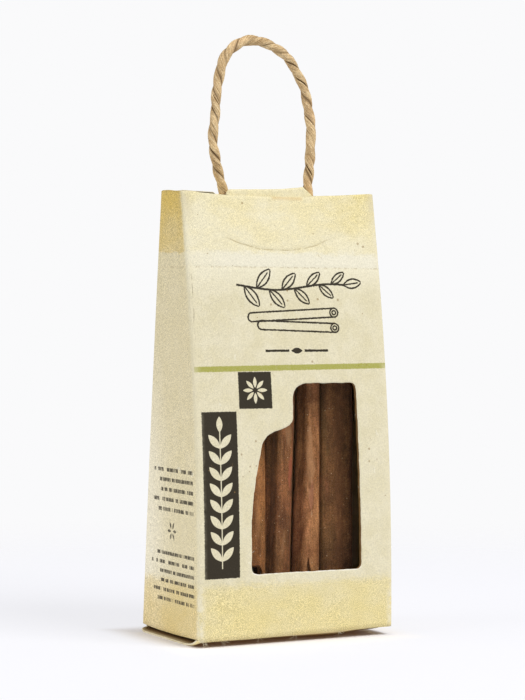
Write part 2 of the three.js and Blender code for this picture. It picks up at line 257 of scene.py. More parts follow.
def node(kind, inputs=(), tree=None, **settings):
    """Adds a node to the given tree, or else to the tree of the outputs that feed it."""
    inputs = dict(inputs)
    if tree is None:
        tree = next(value.id_data for value in inputs.values() if isinstance(value, bpy.types.NodeSocket))
    added = tree.nodes.new(kind)
    for key, value in settings.items():
        setattr(added, key, value)
    feed(added, inputs)
    return added


def calc(operation, a, b=0.0, c=0.0, clamp=False):
    """One Math node."""
    return node("ShaderNodeMath", {0: a, 1: b, 2: c}, operation=operation, use_clamp=clamp).outputs[0]


plus, minus, divided = partial(calc, "ADD"), partial(calc, "SUBTRACT"), partial(calc, "DIVIDE")
times_plus, absolute = partial(calc, "MULTIPLY_ADD"), partial(calc, "ABSOLUTE")
either = partial(calc, "MAXIMUM")


def times(*factors):
    """The product of several masks."""
    return reduce(partial(calc, "MULTIPLY"), factors)


def ramp(value, low, high, to_low=0.0, to_high=1.0):
    """A smooth step from to_low to to_high as value goes from low to high."""
    inputs = {"Value": value, "From Min": low, "From Max": high, "To Min": to_low, "To Max": to_high}
    return node("ShaderNodeMapRange", inputs, interpolation_type="SMOOTHSTEP").outputs[0]


def blend(amount, under, over, kind="MIX"):
    """Mixes two colours."""
    inputs = {0: amount, 6: under, 7: over}
    return node("ShaderNodeMix", inputs, data_type="RGBA", blend_type=kind, clamp_factor=True).outputs[2]


def shade(colour, value, low, high, darkest, lightest):
    """Makes a colour darker and lighter as value goes from low to high."""
    grey = blend(ramp(value, low, high), [darkest] * 3 + [1], [lightest] * 3 + [1])
    return blend(1.0, colour, grey, "MULTIPLY")


def place(tree):
    """The place on the piece, in metres."""
    return node("ShaderNodeTexCoord", tree=tree).outputs["Object"]


def stored(tree, name, output="Fac"):
    """What a mesh keeps for each vertex."""
    return node("ShaderNodeAttribute", tree=tree, attribute_name=name).outputs[output]


def grain(vector, scale, detail=2.0, roughness=0.5):
    """Noise from 0 to 1."""
    inputs = {"Vector": vector, "Scale": scale, "Detail": detail, "Roughness": roughness}
    return node("ShaderNodeTexNoise", inputs).outputs["Fac"]


def stretch(vector, scale):
    """A place multiplied along each axis, for grain that runs one way."""
    return node("ShaderNodeVectorMath", {0: vector, 1: scale}, operation="MULTIPLY").outputs[0]


def bump(height, depth_mm):
    """A normal from a height of 0 to 1 that stands for depth_mm."""
    return node("ShaderNodeBump", {"Height": height, "Distance": depth_mm * MM, "Strength": 1.0}).outputs[0]


def kraft_material():
    """Brown paper with painted shade in the creases of its twist, in its fold hollows and by the lid, and
    painted highlights on the fold ridges.
    """
    material, tree, shader = new_material("twisted_kraft_paper")
    here = place(tree)
    crease = stored(tree, "crease")
    patch = grain(here, 230, 3)
    folds = grain(stored(tree, "twisted_place", "Vector"), 5.5, 4, 0.65)
    fibre = grain(here, 2400, 3, 0.65)
    colour = blend(ramp(patch, 0.35, 0.68), srgb(198, 168, 124), srgb(226, 198, 152))
    colour = blend(ramp(grain(here, 120, 2), 0.5, 0.72, 0, 0.5), colour, srgb(220, 180, 134))
    # Painted shade in the hollows of the folds and a painted highlight on their ridges, which the bump raises
    colour = blend(ramp(folds, 0.5, 0.36, 0, 0.7), colour, srgb(142, 106, 58))
    colour = blend(ramp(folds, 0.56, 0.68, 0, 0.8), colour, srgb(252, 234, 194))
    colour = shade(colour, fibre, 0.3, 0.7, 0.76, 1.17)
    # Painted shade in the twist's creases, its gaping folds and where it comes out of the lid
    colour = blend(ramp(crease, 0.25, 1.0, 0, 0.92), colour, srgb(84, 56, 22))
    feed(shader, {"Base Color": colour, "Roughness": ramp(fibre, 0.3, 0.7, 0.72, 0.9),
                  "Normal": bump(plus(times(folds, 1.6), fibre), 0.07), "Specular IOR Level": 0.3})
    return material


handle = cord_mesh()
handle.data.materials.append(kraft_material())
place_piece(handle, "paper_cord", "handle")

# ---------------------------------------------------------------------------------------------------------
# Walls. The body is one sheet of rough flecked card, die-cut with the window and folded at four corners into
# a box whose depth tapers towards the top. The front bows out over what it holds. Its corners are soft and
# rubbed pale, and the lip of the lid's tuck flap shows through the front as a faint smile.
PACK_WIDTH = 63.3
BASE_DEPTH = 38.5
TOP_DEPTH = 14.5
FOOT_Z = 2.3
SHOULDER_Z = 130.5
FRONT_BOW = 3.3
BACK_BOW = 0.5
CARD = 0.5
# How much fuller the filled pack stands than its fold lines, across and in depth
FULLNESS = 1.012
FOLD_REACH = 1.2
SHEET_STEP = 1.5
FOLD_STEP = 0.42
SHEET_LENGTH = 2 * (PACK_WIDTH + BASE_DEPTH)
# The sheet is laid out from the back left corner: left side, front, right side, back.
FRONT_START = BASE_DEPTH
FRONT_MIDDLE = BASE_DEPTH + PACK_WIDTH / 2
FRONT_END = BASE_DEPTH + PACK_WIDTH
BACK_START = 2 * BASE_DEPTH + PACK_WIDTH
CORNERS = (0, FRONT_START, FRONT_END, BACK_START, SHEET_LENGTH)
# How high the cut edges stand at places along the sheet. They are lowest beside the handle's left end.
TOP_EDGE = [
    (0, 131.0), (4.5, 131.4), (15.4, 131.3), (26.2, 130.9), (38.5, 130.66), (42, 130.64), (44, 130.35),
    (47.2, 130.19), (51.1, 129.9), (55, 129.8), (78, 129.75), (80.6, 130.3), (88.8, 130.65), (94, 131.0),
    (100.3, 131.45), (101.8, 131.3), (112, 131.0), (141, 130.7), (SHEET_LENGTH, 131.0),
]
FOOT_EDGE = [
    (0, 2.65), (3.3, 2.35), (11.7, 2.1), (22, 2.1), (32, 2.27), (37.6, 2.45), (38.6, 1.75), (42, 1.8),
    (55, 1.8), (70.8, 2.08), (94, 2.44), (101.8, 2.5), (121, 2.2), (141, 2.4), (SHEET_LENGTH, 2.65),
]
FOOT_FADE = 12
TOP_FADE = 120

WINDOW_LEFT, WINDOW_RIGHT = -14.9, 21.1
WINDOW_BOTTOM, WINDOW_TOP = 20.3, 75.0
WINDOW_STEP_X, WINDOW_STEP_Z = -0.4, 61.6
WINDOW_CORNER, WINDOW_TOP_CORNER = 2.0, 5.3
# How far the window's right side leans in by its top
WINDOW_LEAN = 0.35
CUT_WAVER = 0.13
# How far the painted shade on the card reaches from the cut, how far out rings of points follow the cut, and
# how far the sheet's other points keep from it
WINDOW_REACH = 2.0
WINDOW_RINGS = (0, 0.35, 0.8)
WINDOW_CLEAR = 1.3

TUCK_MIDDLE, TUCK_HALF = -1.9, 17.5
TUCK_LIP_Z, TUCK_SIDE_Z = 113.9, 117.6
CREASE_Z = 108.8


def wall_y(side, z):
    """Where the outer face of the front (-1) or back (1) wall is at a height."""
    t = (z - FOOT_Z) / (SHOULDER_Z - FOOT_Z)
    bow = FRONT_BOW if side < 0 else BACK_BOW
    return side * (BASE_DEPTH / 2 + (TOP_DEPTH - BASE_DEPTH) / 2 * t + 4 * bow * t * (1 - t))


def edge_height(edge, a):
    """How high a cut edge stands at a place along it."""
    return np.interp(a, *np.transpose(edge))


def curve_points(controls, count):
    """Points along a quadratic or cubic Bezier curve, without its end point."""
    controls = [np.array(c, float) for c in controls]
    made = []
    for t in np.linspace(0, 1, count, endpoint=False):
        level_points = controls
        while len(level_points) > 1:
            level_points = [a * (1 - t) + b * t for a, b in zip(level_points, level_points[1:])]
        made.append(level_points[0])
    return made


def tuck_lip(x):
    """The height of the tuck flap's curved lip, behind the front."""
    return TUCK_LIP_Z + (TUCK_SIDE_Z - TUCK_LIP_Z) * ((x - TUCK_MIDDLE) / TUCK_HALF) ** 2


def outline_normals(outline):
    """The outward direction at each point of a counter-clockwise outline."""
    run = np.roll(outline, -1, axis=0) - np.roll(outline, 1, axis=0)
    run /= np.linalg.norm(run, axis=1)[:, None]
    return np.column_stack([run[:, 1], -run[:, 0]])


def window_outline():
    """The die-cut window in X and Z, counter-clockwise, with the low step at its upper left. The worn blade
    leaves it a little uneven."""
    left, right_x, low, high = WINDOW_LEFT, WINDOW_RIGHT, WINDOW_BOTTOM, WINDOW_TOP
    top_x = right_x - WINDOW_LEAN
    corner, top_corner, step_x, step_z = WINDOW_CORNER, WINDOW_TOP_CORNER, WINDOW_STEP_X, WINDOW_STEP_Z
    pieces = [
        (64, (left + corner, low), (right_x - corner, low)),
        (6, (right_x - corner, low), (right_x, low), (right_x, low + corner)),
        (92, (right_x, low + corner), (top_x, high - corner)),
        (6, (top_x, high - corner), (top_x, high), (top_x - corner, high)),
        (26, (top_x - corner, high), (step_x + top_corner, high)),
        (12, (step_x + top_corner, high), (step_x, high), (step_x, high - top_corner)),
        (10, (step_x, high - top_corner), (step_x, step_z + 4)),
        (10, (step_x, step_z + 4), (step_x, 63.2), (-2.2, 62.4), (-5, step_z)),
        (12, (-5, step_z), (-8.2, 60.8), (-9.9, 59.8), (-10.8, 57.4)),
        (48, (-10.8, 57.4), (-12.7, 50.2), (left, 41), (left, 31)),
        (16, (left, 31), (left, low + corner)),
        (6, (left, low + corner), (left, low), (left + corner, low)),
    ]
    outline = np.array([point for count, *controls in pieces for point in curve_points(controls, count)])
    waver = [noise_at(x * 0.5, z * 0.5, 7.7) + 0.6 * noise_at(x * 1.7, z * 1.7, 3.3) for x, z in outline]
    return outline + outline_normals(outline) * (CUT_WAVER * np.array(waver))[:, None]


def outline_distance(points, outline):
    """How far each point is from the outline, and whether it is inside."""
    distance = np.full(len(points), 1e9)
    inside = np.zeros(len(points), bool)
    for a, b in zip(outline, np.roll(outline, -1, axis=0)):
        edge = b - a
        share = np.clip(((points - a) @ edge) / (edge @ edge), 0, 1)
        distance = np.minimum(distance, np.linalg.norm(points - a - share[:, None] * edge, axis=1))
        crosses = (a[1] > points[:, 1]) != (b[1] > points[:, 1])
        if a[1] != b[1]:
            at = a[0] + (points[:, 1] - a[1]) / (b[1] - a[1]) * (b[0] - a[0])
            inside ^= crosses & (points[:, 0] < at)
    return distance, inside


def soft_step(value, low, high):
    """A smooth step from 0 to 1 as value goes from low to high."""
    t = np.clip((value - low) / (high - low), 0, 1)
    return t * t * (3 - 2 * t)


# Faint creases pressed into the front, each from one [x, z] to another
PRESSED_LINES = [((22.4, 121.6), (31.2, 122.6)), ((14.0, 116.6), (22.4, 119.0)),
                 ((11.0, 114.2), (16.0, 116.0)), ((-28.2, 107.5), (-19.6, 105.6))]
# How far the front stands out or is pressed in, in millimetres
SLOW_WAVES, SMALL_WAVES, FLAP_STEP = 0.28, 0.07, 0.2
LIP_GROOVE, CREASE_GROOVE, CUT_ROLL, PRESSED_DEPTH = 0.1, 0.07, 0.08, 0.12


def segment_distance(x, z, start, end):
    """How far places are from a straight line between two others."""
    (x0, z0), (x1, z1) = start, end
    share = np.clip(((x - x0) * (x1 - x0) + (z - z0) * (z1 - z0)) / ((x1 - x0) ** 2 + (z1 - z0) ** 2), 0, 1)
    return np.hypot(x - x0 - share * (x1 - x0), z - z0 - share * (z1 - z0))


def front_relief(x, z, edge_distance):
    """How far the front panel stands out of its plain form."""
    inside = soft_step(PACK_WIDTH / 2 - np.abs(x), 1.5, 9)
    slow = np.array([noise_at(a * 0.035, b * 0.03, 4.4) for a, b in zip(x, z)])
    middle = np.array([noise_at(a * 0.11, b * 0.09, 8.8) for a, b in zip(x, z)])
    lip = tuck_lip(x)
    over_flap = soft_step(z - lip, -0.35, 0.35) * soft_step(TUCK_HALF + 1.5 - np.abs(x - TUCK_MIDDLE), 0, 5)
    fading = 1 - soft_step(z, 116, 128)
    groove = np.exp(-((z - lip) / 0.35) ** 2) * soft_step(TUCK_HALF - np.abs(x - TUCK_MIDDLE), 0, 3)
    crease = np.exp(-((z - CREASE_Z) / 0.5) ** 2)
    rolled = np.exp(-(edge_distance / 0.4) ** 2)
    pressed = sum(np.exp(-(segment_distance(x, z, *line) / 0.7) ** 2) for line in PRESSED_LINES)
    settled = 1 - 0.8 * soft_step(z, 119, 129)
    return (inside * settled * (SLOW_WAVES * slow + SMALL_WAVES * middle) + FLAP_STEP * over_flap * fading
            - LIP_GROOVE * groove - CREASE_GROOVE * crease - CUT_ROLL * rolled - PRESSED_DEPTH * pressed)


def sheet_places(a, z, inset, relief):
    """Folds the flat sheet: a is the way round it and z the height. inset goes into the card."""
    half = PACK_WIDTH / 2 - inset
    front, back = wall_y(-1, z) + inset, wall_y(1, z) - inset
    reach = FOLD_REACH - inset
    corners = [(-half + 0 * z, back), (-half + 0 * z, front), (half + 0 * z, front), (half + 0 * z, back)]
    x, y = np.zeros_like(z), np.zeros_like(z)
    for panel, (start, end) in enumerate(zip(CORNERS, CORNERS[1:])):
        here = (a >= start) & (a <= end)
        share = (a - start) / (end - start)
        (x0, y0), (x1, y1) = corners[panel], corners[(panel + 1) % 4]
        x[here] = (x0 + (x1 - x0) * share)[here]
        y[here] = (y0 + (y1 - y0) * share)[here]
        length = np.hypot(x1 - x0, y1 - y0)
        for near_start in (True, False):
            run = share * length if near_start else (1 - share) * length
            soft = here & (run < reach)
            (cx, cy), (ox, oy) = ((x0, y0), (x1, y1)) if near_start else ((x1, y1), (x0, y0))
            px, py = corners[(panel - 1) % 4] if near_start else corners[(panel + 2) % 4]
            own = np.hypot(ox - cx, oy - cy)
            other = np.hypot(px - cx, py - cy)
            ax, ay = cx + (ox - cx) / own * reach, cy + (oy - cy) / own * reach
            bx, by = cx + (px - cx) / other * reach, cy + (py - cy) / other * reach
            t = (reach - run) / (2 * reach)
            x[soft] = ((1 - t) ** 2 * ax + 2 * t * (1 - t) * cx + t**2 * bx)[soft]
            y[soft] = ((1 - t) ** 2 * ay + 2 * t * (1 - t) * cy + t**2 * by)[soft]
    on_front = (a > FRONT_START) & (a < FRONT_END)
    on_back = a > BACK_START
    y = y - np.where(on_front, relief, 0) + np.where(on_back, relief, 0)
    on_left, on_right = a < FRONT_START, (a > FRONT_END) & (a < BACK_START)
    x = x - np.where(on_left, relief, 0) + np.where(on_right, relief, 0)
    foot = (edge_height(FOOT_EDGE, a) - FOOT_Z) * (1 - soft_step(z, FOOT_Z, FOOT_FADE))
    top = (edge_height(TOP_EDGE, a) - SHOULDER_Z) * soft_step(z, TOP_FADE, SHOULDER_Z)
    return np.column_stack([x, y, z + foot + top])


def thick_sheet(name, faces, outer, inner, uv, outer_marks=0):
    """A sheet with thickness: its outer faces, its inner faces and the cut edge that joins them. The three
    take the first, second and third material, unless outer_marks gives the outer faces others."""
    count = len(outer)
    edges = {}
    for face in faces:
        for a, b in zip(face, face[1:] + face[:1]):
            key = (min(a, b), max(a, b))
            edges[key] = None if key in edges else (a, b)
    rims = [edge for edge in edges.values() if edge]
    all_faces = list(faces)
    all_faces += [tuple(i + count for i in reversed(face)) for face in faces]
    all_faces += [(b, a, a + count, b + count) for a, b in rims]
    made = make_object(name, np.vstack([outer, inner]), all_faces)
    marks = np.full(len(all_faces), 1)
    marks[:len(faces)] = outer_marks
    marks[2 * len(faces):] = 2
    made.data.polygons.foreach_set("material_index", marks)
    made.data.polygons.foreach_set("use_smooth", marks != 2)
    layer = made.data.uv_layers.new(name="sheet")
    loops = np.zeros(len(made.data.loops), np.int32)
    made.data.loops.foreach_get("vertex_index", loops)
    layer.data.foreach_set("uv", np.vstack([uv, uv])[loops].astype(np.float32).ravel())
    return made


UV_SPAN_U, UV_START_U = 500.0, -250.0
UV_SPAN_V, UV_START_V = 250.0, -50.0


def sheet_uv(u, v):
    """Millimetres along the sheet as a UV place. u is 0 at the front's left fold, and v is the height."""
    return np.column_stack([(u - UV_START_U) / UV_SPAN_U, (v - UV_START_V) / UV_SPAN_V])


def sheet_stations():
    """Stations round the sheet, close together at the folds."""
    stations = set()
    for start, end in zip(CORNERS, CORNERS[1:]):
        count = round((end - start - 4 * FOLD_REACH) / SHEET_STEP)
        stations.update(np.round(np.linspace(start + 2 * FOLD_REACH, end - 2 * FOLD_REACH, count + 1), 4))
        soft = np.arange(0, 2 * FOLD_REACH, FOLD_STEP)
        stations.update(np.round(start + soft, 4))
        stations.update(np.round(end - soft, 4))
    return np.array(sorted(stations))


# The place of the front's printed finish among the card's finishes
FRONT_PRINT = 3
# How near a point has to be to an end of the sheet to be on it
AT_END = 1e-3


def walls_mesh():
    """The four walls as one folded sheet, with the window cut out of the front."""
    stations = sheet_stations()
    # Rows close together at the crease, over the tuck flap's lip and by the top
    heights = np.concatenate([
        np.linspace(FOOT_Z, CREASE_Z - 1.2, 72), np.linspace(CREASE_Z - 0.8, CREASE_Z + 0.8, 5),
        np.linspace(CREASE_Z + 1.2, 112.6, 4), np.linspace(113.2, 118.4, 15),
        np.linspace(119, SHOULDER_Z, 15),
    ])
    outline = window_outline()
    outward = outline_normals(outline)
    shift = np.array([FRONT_MIDDLE, 0])
    grid = np.array([(a, z) for z in heights for a in stations])
    near = np.abs(grid[:, 0] - FRONT_MIDDLE) < PACK_WIDTH / 2
    distance, inside = outline_distance(grid - shift, outline)
    grid = grid[~near | (~inside & (distance > WINDOW_CLEAR))]
    rings = [outline + outward * out + shift for out in WINDOW_RINGS]
    points = np.vstack(rings + [grid])
    count = len(outline)
    edges = [(i, (i + 1) % count) for i in range(count)]
    found = geometry.delaunay_2d_cdt([Vector(p) for p in points], edges, [], 0, 1e-5)
    flat = np.array([tuple(v) for v in found[0]])
    faces = np.array([tuple(f) for f in found[2]])
    centres = flat[faces].mean(axis=1)
    inside = outline_distance(centres - shift, outline)[1]
    faces = faces[~inside]
    a, z = flat[:, 0], flat[:, 1]
    edge_distance = np.full(len(a), 50.0)
    on_front = (a > FRONT_START) & (a < FRONT_END)
    edge_distance[on_front] = outline_distance(flat[on_front] - shift, outline)[0]
    relief = np.array([0.12 * noise_at(p * 0.04, q * 0.03, 1.7) for p, q in flat])
    for corner in CORNERS:
        relief *= soft_step(np.abs(a - corner), 1.5, 8)
    relief[on_front] = front_relief(a[on_front] - FRONT_MIDDLE, z[on_front], edge_distance[on_front])
    outer = sheet_places(a, z, 0.0, relief)
    inner = sheet_places(a, z, CARD, relief)
    # The two ends of the sheet meet at the back left corner, where they are glued.
    last = np.where(a > SHEET_LENGTH - AT_END)[0]
    first = {round(float(z[i]), 3): i for i in np.where(a < AT_END)[0]}
    swap = {int(i): int(first[round(float(z[i]), 3)]) for i in last}
    faces = [tuple(swap.get(int(i), int(i)) for i in face) for face in faces]
    depth = wall_y(1, z) - wall_y(-1, z)
    u = np.where(a < FRONT_START, -(1 - a / BASE_DEPTH) * depth, a - FRONT_START)
    front_faces = [FRONT_START < a[list(face)].mean() < FRONT_END for face in faces]
    marks = np.where(front_faces, FRONT_PRINT, 0)
    made = thick_sheet("card_walls", faces, outer, inner, sheet_uv(u, z), marks)
    # Painted shade by the window: its cut and inside faces turn dark brown near it, and the printed faces take
    # their torn edge from the same mark
    nearness = np.clip(1 - edge_distance / WINDOW_REACH, 0, 1)
    store(made, "cut_wear_and_painted_shade", np.concatenate([nearness, nearness]))
    return made


# Prints on the sheet, each box as low u, high u, low v, high v
WASH_TOP_V = 113.2
WASH_BOTTOM_V = 17.6
STRIPE = (0.0, 63.3, 78.5, 80.1)
STRIPE_RISE = 0.011
PLATE = (1.8, 12.9, 19.6, 67.2)
TILE = (13.9, 24.5, 67.9, 78.5)
RULES = [(23.2, 31.0, 84.2, 84.9), (36.0, 43.8, 84.2, 84.9)]
# The tile's flower as its number of petals, their length and their width. The side's flower has its middle
# before these and its first petal's angle after them. Petals start a little way out from the middle.
TILE_FLOWER = (8, 3.2, 1.1)
SIDE_FLOWER = (-17.5, 31.9, 6, 2.3, 0.9, 0)
PETAL_START = 0.7
# A leaf is given as base u, base v, angle in degrees, length and width.
RULE_LEAF = (31.6, 84.55, 0, 3.8, 1.7)
TWIG_TIP_LEAF = (50.3, 103.9, 8, 6.2, 2.7)
# The pale sprig on the plate: where its stem starts and ends, its lowest leaves and the step to the next
# pair, how far the leaves lean to each side, and the length and width of a leaf and of the tip's leaf
SPRIG_STEM, SPRIG_STEM_HALF = (22.4, 61.5), 0.16
SPRIG_LOW_V, SPRIG_STEP, SPRIG_PAIRS, SPRIG_SPLAY = 24.5, 4.6, 8, 42
SPRIG_LEAF, SPRIG_TIP = (5.4, 2.1), (61.3, 90, 4.6, 1.9)
# The drawn twig: its ends and half its thickness, its middle height and the waves it makes, and its leaves
TWIG_ENDS, TWIG_HALF = (15.0, 50.6), 0.32
TWIG_V, TWIG_WAVE, TWIG_RATE = 103.2, 0.9, 0.17
TWIG_LEAVES, TWIG_LEAF_U, TWIG_LEAF_STEP = 8, 17.5, 4.1
# The lean in degrees, length and width of its first leaf, each with how much less the next leaf has
TWIG_LEAF_SIZES = [(52, 2), (7.6, 0.25), (3.1, 0.12)]
# The drawn sticks: middle u and v, tilt in degrees and half the length
LYING_STICKS = [(33.0, 95.0, 3, 13.5), (34.5, 91.6, -2, 12.0)]
STICK_RADIUS, STICK_STROKE, LEAF_STROKE, FINE_STROKE = 1.3, 0.52, 0.56, 0.3
# Rows of short rules on the left side: where they start, their lowest and highest v and their spacing
SIDE_ROWS = [(-30.5, 36.6, 51.1, 2.9), (-31.5, 10.4, 26.6, 2.7)]
SIDE_ROW_END, SIDE_ROW_RAGGED = -3.2, 7.0
# Half a rule's height, as a share of the spacing, and how the words differ from row to row and along a row
RULE_HALF = (0.17, 0.21)
WORD_SHIFT, WORD_RATE = 17.3, 0.34
INK = srgb(40, 32, 17)
# Wear: a crack beside the left fold. Painted shade: a brown line along a stretch of the front's top edge,
# below the tongue
CRACK_U = 1.0
CRACK_FOOT, CRACK_HEAD = (86, 92), (108, 105)
TOP_EDGE_SHADE = (29.0, 39.0, 129.6, 131.6)
# Heights between which the folds' wear sets in towards the foot and the top, and the top corners turn grey
FOOT_WEAR, TOP_WEAR, GREY_CORNER = (22, 12), (112, 118), (119, 128)


def new_group(name, inputs, outputs):
    """A node group. inputs and outputs give the kind of each named socket."""
    tree = bpy.data.node_groups.new(name, "ShaderNodeTree")
    for way, sockets in (("INPUT", inputs), ("OUTPUT", outputs)):
        for socket, kind in sockets.items():
            tree.interface.new_socket(socket, in_out=way, socket_type="NodeSocket" + kind)
    return tree


def cells(vector, scale):
    """Scattered cells: the distance from the middle of each, and two random numbers of its own."""
    found = node("ShaderNodeTexVoronoi", {"Vector": vector, "Scale": scale, "Randomness": 1})
    own = node("ShaderNodeSeparateColor", {0: found.outputs["Color"]}).outputs
    return found.outputs["Distance"], own[0], own[1]


def fibre_group():
    """Rough recycled card: soft mottling, pulp grain and scattered dark and pale fibres."""
    names = ("Mottle", "Pulp", "Fleck", "Pale Fibre", "Height")
    tree = new_group("flecked_card", {}, dict.fromkeys(names, "Float"))
    here = place(tree)
    mottle = grain(here, 190, 5, 0.6)
    pulp = grain(here, 2300, 3, 0.7)
    swirl = node("ShaderNodeTexNoise", {"Vector": here, "Scale": 300}).outputs["Color"]
    swirl = stretch(swirl, (0.004, 0.004, 0.004))
    bent = node("ShaderNodeVectorMath", {0: here, 1: swirl}, operation="ADD").outputs[0]
    distance, pick, size = cells(here, 400)
    speck = times(calc("LESS_THAN", distance, times(size, 0.16)), calc("GREATER_THAN", pick, 0.66))
    hairs = []
    for turn, scale in ((0.5, (520, 520, 90)), (2.1, (95, 95, 480))):
        turned = node("ShaderNodeVectorRotate", {"Vector": bent, "Angle": turn}, rotation_type="Y_AXIS")
        distance, pick, _ = cells(stretch(turned.outputs[0], scale), 1)
        hairs.append(times(calc("LESS_THAN", distance, 0.11), calc("GREATER_THAN", pick, 0.62)))
    dark_hair, pale_hair = hairs
    height = plus(times(pulp, 0.8), times(mottle, 0.4))
    node("NodeGroupOutput", {
        "Mottle": mottle, "Pulp": pulp, "Fleck": either(speck, times(dark_hair, 0.3)),
        "Pale Fibre": pale_hair, "Height": plus(height, times(pale_hair, 0.15)),
    })
    return tree


def turned_place(u, v, base_u, base_v, angle):
    """A place on the sheet as seen from a base and turned: how far along it is, and how far to the side."""
    flat = node("ShaderNodeCombineXYZ", {0: minus(u, base_u), 1: minus(v, base_v)}).outputs[0]
    turned = node("ShaderNodeVectorRotate", {"Vector": flat, "Angle": angle}, rotation_type="Z_AXIS")
    return node("ShaderNodeSeparateXYZ", {0: turned.outputs[0]}).outputs[:2]


def leaf_group():
    """One drawn leaf on the sheet. Fill is its whole shape, and Line its outline and midrib."""
    names = ("U", "V", "Base U", "Base V", "Angle", "Length", "Width", "Stroke")
    tree = new_group("drawn_leaf", dict.fromkeys(names, "Float"), dict.fromkeys(("Fill", "Line"), "Float"))
    given = node("NodeGroupInput", tree=tree).outputs
    way, beside = turned_place(*given[:4], times(given["Angle"], -1.0))
    share = divided(way, given["Length"])
    along = times(ramp(share, 0.0, 0.03), ramp(share, 1.0, 0.97))
    half = times(share, minus(1.0, share), given["Width"], 2.0)
    off = absolute(beside)
    gap = minus(off, half)
    fill = times(ramp(gap, 0.06, -0.06), along)
    edge = minus(absolute(gap), times(given["Stroke"], 0.5))
    rib = minus(off, times(given["Stroke"], 0.4))
    drawn = either(ramp(edge, 0.07, -0.07), times(ramp(rib, 0.07, -0.07), ramp(share, 0.86, 0.78)))
    node("NodeGroupOutput", {"Fill": fill, "Line": times(drawn, along)})
    return tree


def box_mask(u, v, low_u, high_u, low_v, high_v, soft=0.12):
    """1 inside a rectangle of the sheet."""
    return times(ramp(u, low_u - soft, low_u + soft), ramp(u, high_u + soft, high_u - soft),
                 ramp(v, low_v - soft, low_v + soft), ramp(v, high_v + soft, high_v - soft))


def between(value, low, high):
    """How far a value is from a middle, as a soft band: 1 within low and 0 beyond high."""
    return ramp(absolute(value), high, low)


def roughened(value, here, scale, amount):
    """A place on the sheet moved to and fro by grain, which makes a printed or worn edge uneven."""
    return times_plus(minus(grain(here, scale, 2), 0.5), amount, value)


def leaves(u, v, leaf, specs, stroke, kind):
    """Several drawn leaves, each laid over the others as soon as it is made."""
    drawn = None
    for base_u, base_v, angle, length, width in specs:
        made = node("ShaderNodeGroup", {"U": u, "V": v, "Base U": base_u, "Base V": base_v,
                                        "Angle": math.radians(angle), "Length": length, "Width": width,
                                        "Stroke": stroke}, node_tree=leaf).outputs[kind]
        drawn = either(drawn, made) if drawn else made
    return drawn


def stick_line(u, v, centre_u, centre_v, tilt, half_length):
    """The outline of a lying stick with a round end, drawn in one stroke."""
    way, beside = turned_place(u, v, centre_u, centre_v, -math.radians(tilt))
    past_end = either(minus(absolute(way), half_length), 0.0)
    reach = calc("SQRT", plus(times(past_end, past_end), times(beside, beside)))
    half = STICK_STROKE / 2
    line = between(minus(reach, STICK_RADIUS), half - 0.07, half + 0.07)
    end = minus(way, half_length)
    ring = calc("SQRT", plus(times(end, end), times(beside, beside)))
    for radius in (STICK_RADIUS, STICK_RADIUS * 0.45):
        line = either(line, between(minus(ring, radius), half - 0.08, half + 0.05))
    return line


def flower(middle_u, middle_v, petals, length, width, start=90):
    """The leaves of a small flower."""
    specs = []
    for i in range(petals):
        angle = start + 360 * i / petals
        turn = math.radians(angle)
        base_u, base_v = middle_u + PETAL_START * math.cos(turn), middle_v + PETAL_START * math.sin(turn)
        specs.append((base_u, base_v, angle, length, width))
    return specs


def card_with_washes(card, here, u, v, on_side):
    """The bare card with the yellow washes over its top and foot, which are stippled and uneven."""
    colour = blend(ramp(card["Mottle"], 0.3, 0.72), srgb(215, 206, 173), srgb(222, 214, 186))
    colour = blend(times(on_side, 0.5), colour, srgb(220, 205, 163))
    colour = blend(times(ramp(v, 98, 112, 0, 0.7), minus(1.0, on_side)), colour, srgb(234, 228, 204))
    # Painted light: the left side is lighter towards its back and foot
    colour = blend(times(ramp(u, -14, -36, 0, 0.6), ramp(v, 100, 50)), colour, srgb(244, 238, 220))
    colour = blend(times(card["Pale Fibre"], 0.35), colour, srgb(232, 229, 214))
    stipple = grain(here, 4300, 2, 0.7)
    blotch = grain(stretch(here, (1, 1, 1.6)), 85, 4, 0.6)
    fray = minus(grain(stretch(here, (1, 1, 2.5)), 420, 4, 0.7), 0.5)
    edge = times_plus(fray, 4.5, v)
    front_top = times(ramp(edge, WASH_TOP_V - 0.9, WASH_TOP_V + 1.1), ramp(v, 112, 130, 0.22, 0.3))
    right_end = times(ramp(u, 40, 62, 0.0, 0.3), ramp(v, 113, 128))
    front_top = times_plus(front_top, ramp(blotch, 0.3, 0.68, 0.62, 1.28), right_end)
    side_top = times(ramp(edge, WASH_TOP_V - 0.6, WASH_TOP_V + 0.7), ramp(v, 113, 128, 0.62, 0.95))
    top = times_plus(on_side, minus(side_top, front_top), front_top)
    foot = times(ramp(edge, WASH_BOTTOM_V + 1.4, WASH_BOTTOM_V - 1.8), ramp(v, 18, 8, 0.44, 0.56))
    wash = times(either(top, foot), ramp(blotch, 0.3, 0.68, 0.8, 1.15), ramp(stipple, 0.3, 0.7, 1.06, 0.94))
    colour = blend(wash, colour, blend(on_side, srgb(224, 205, 128), srgb(212, 184, 104)))
    pale = times(ramp(v, CREASE_Z - 0.2, CREASE_Z + 0.6), ramp(edge, 114.4, 111.6),
                 ramp(u, 2, 15, 0.08, 0.38), minus(1.0, on_side))
    colour = blend(pale, colour, srgb(228, 224, 209))
    colour = shade(colour, card["Pulp"], 0.3, 0.7, 0.9, 1.08)
    rough = plus(times_plus(wash, 0.9, ramp(u, 16, 3, 0.12, 0.3)), times(on_side, 0.5), clamp=True)
    return blend(rough, colour, shade(colour, stipple, 0.32, 0.68, 0.58, 1.34)), stipple


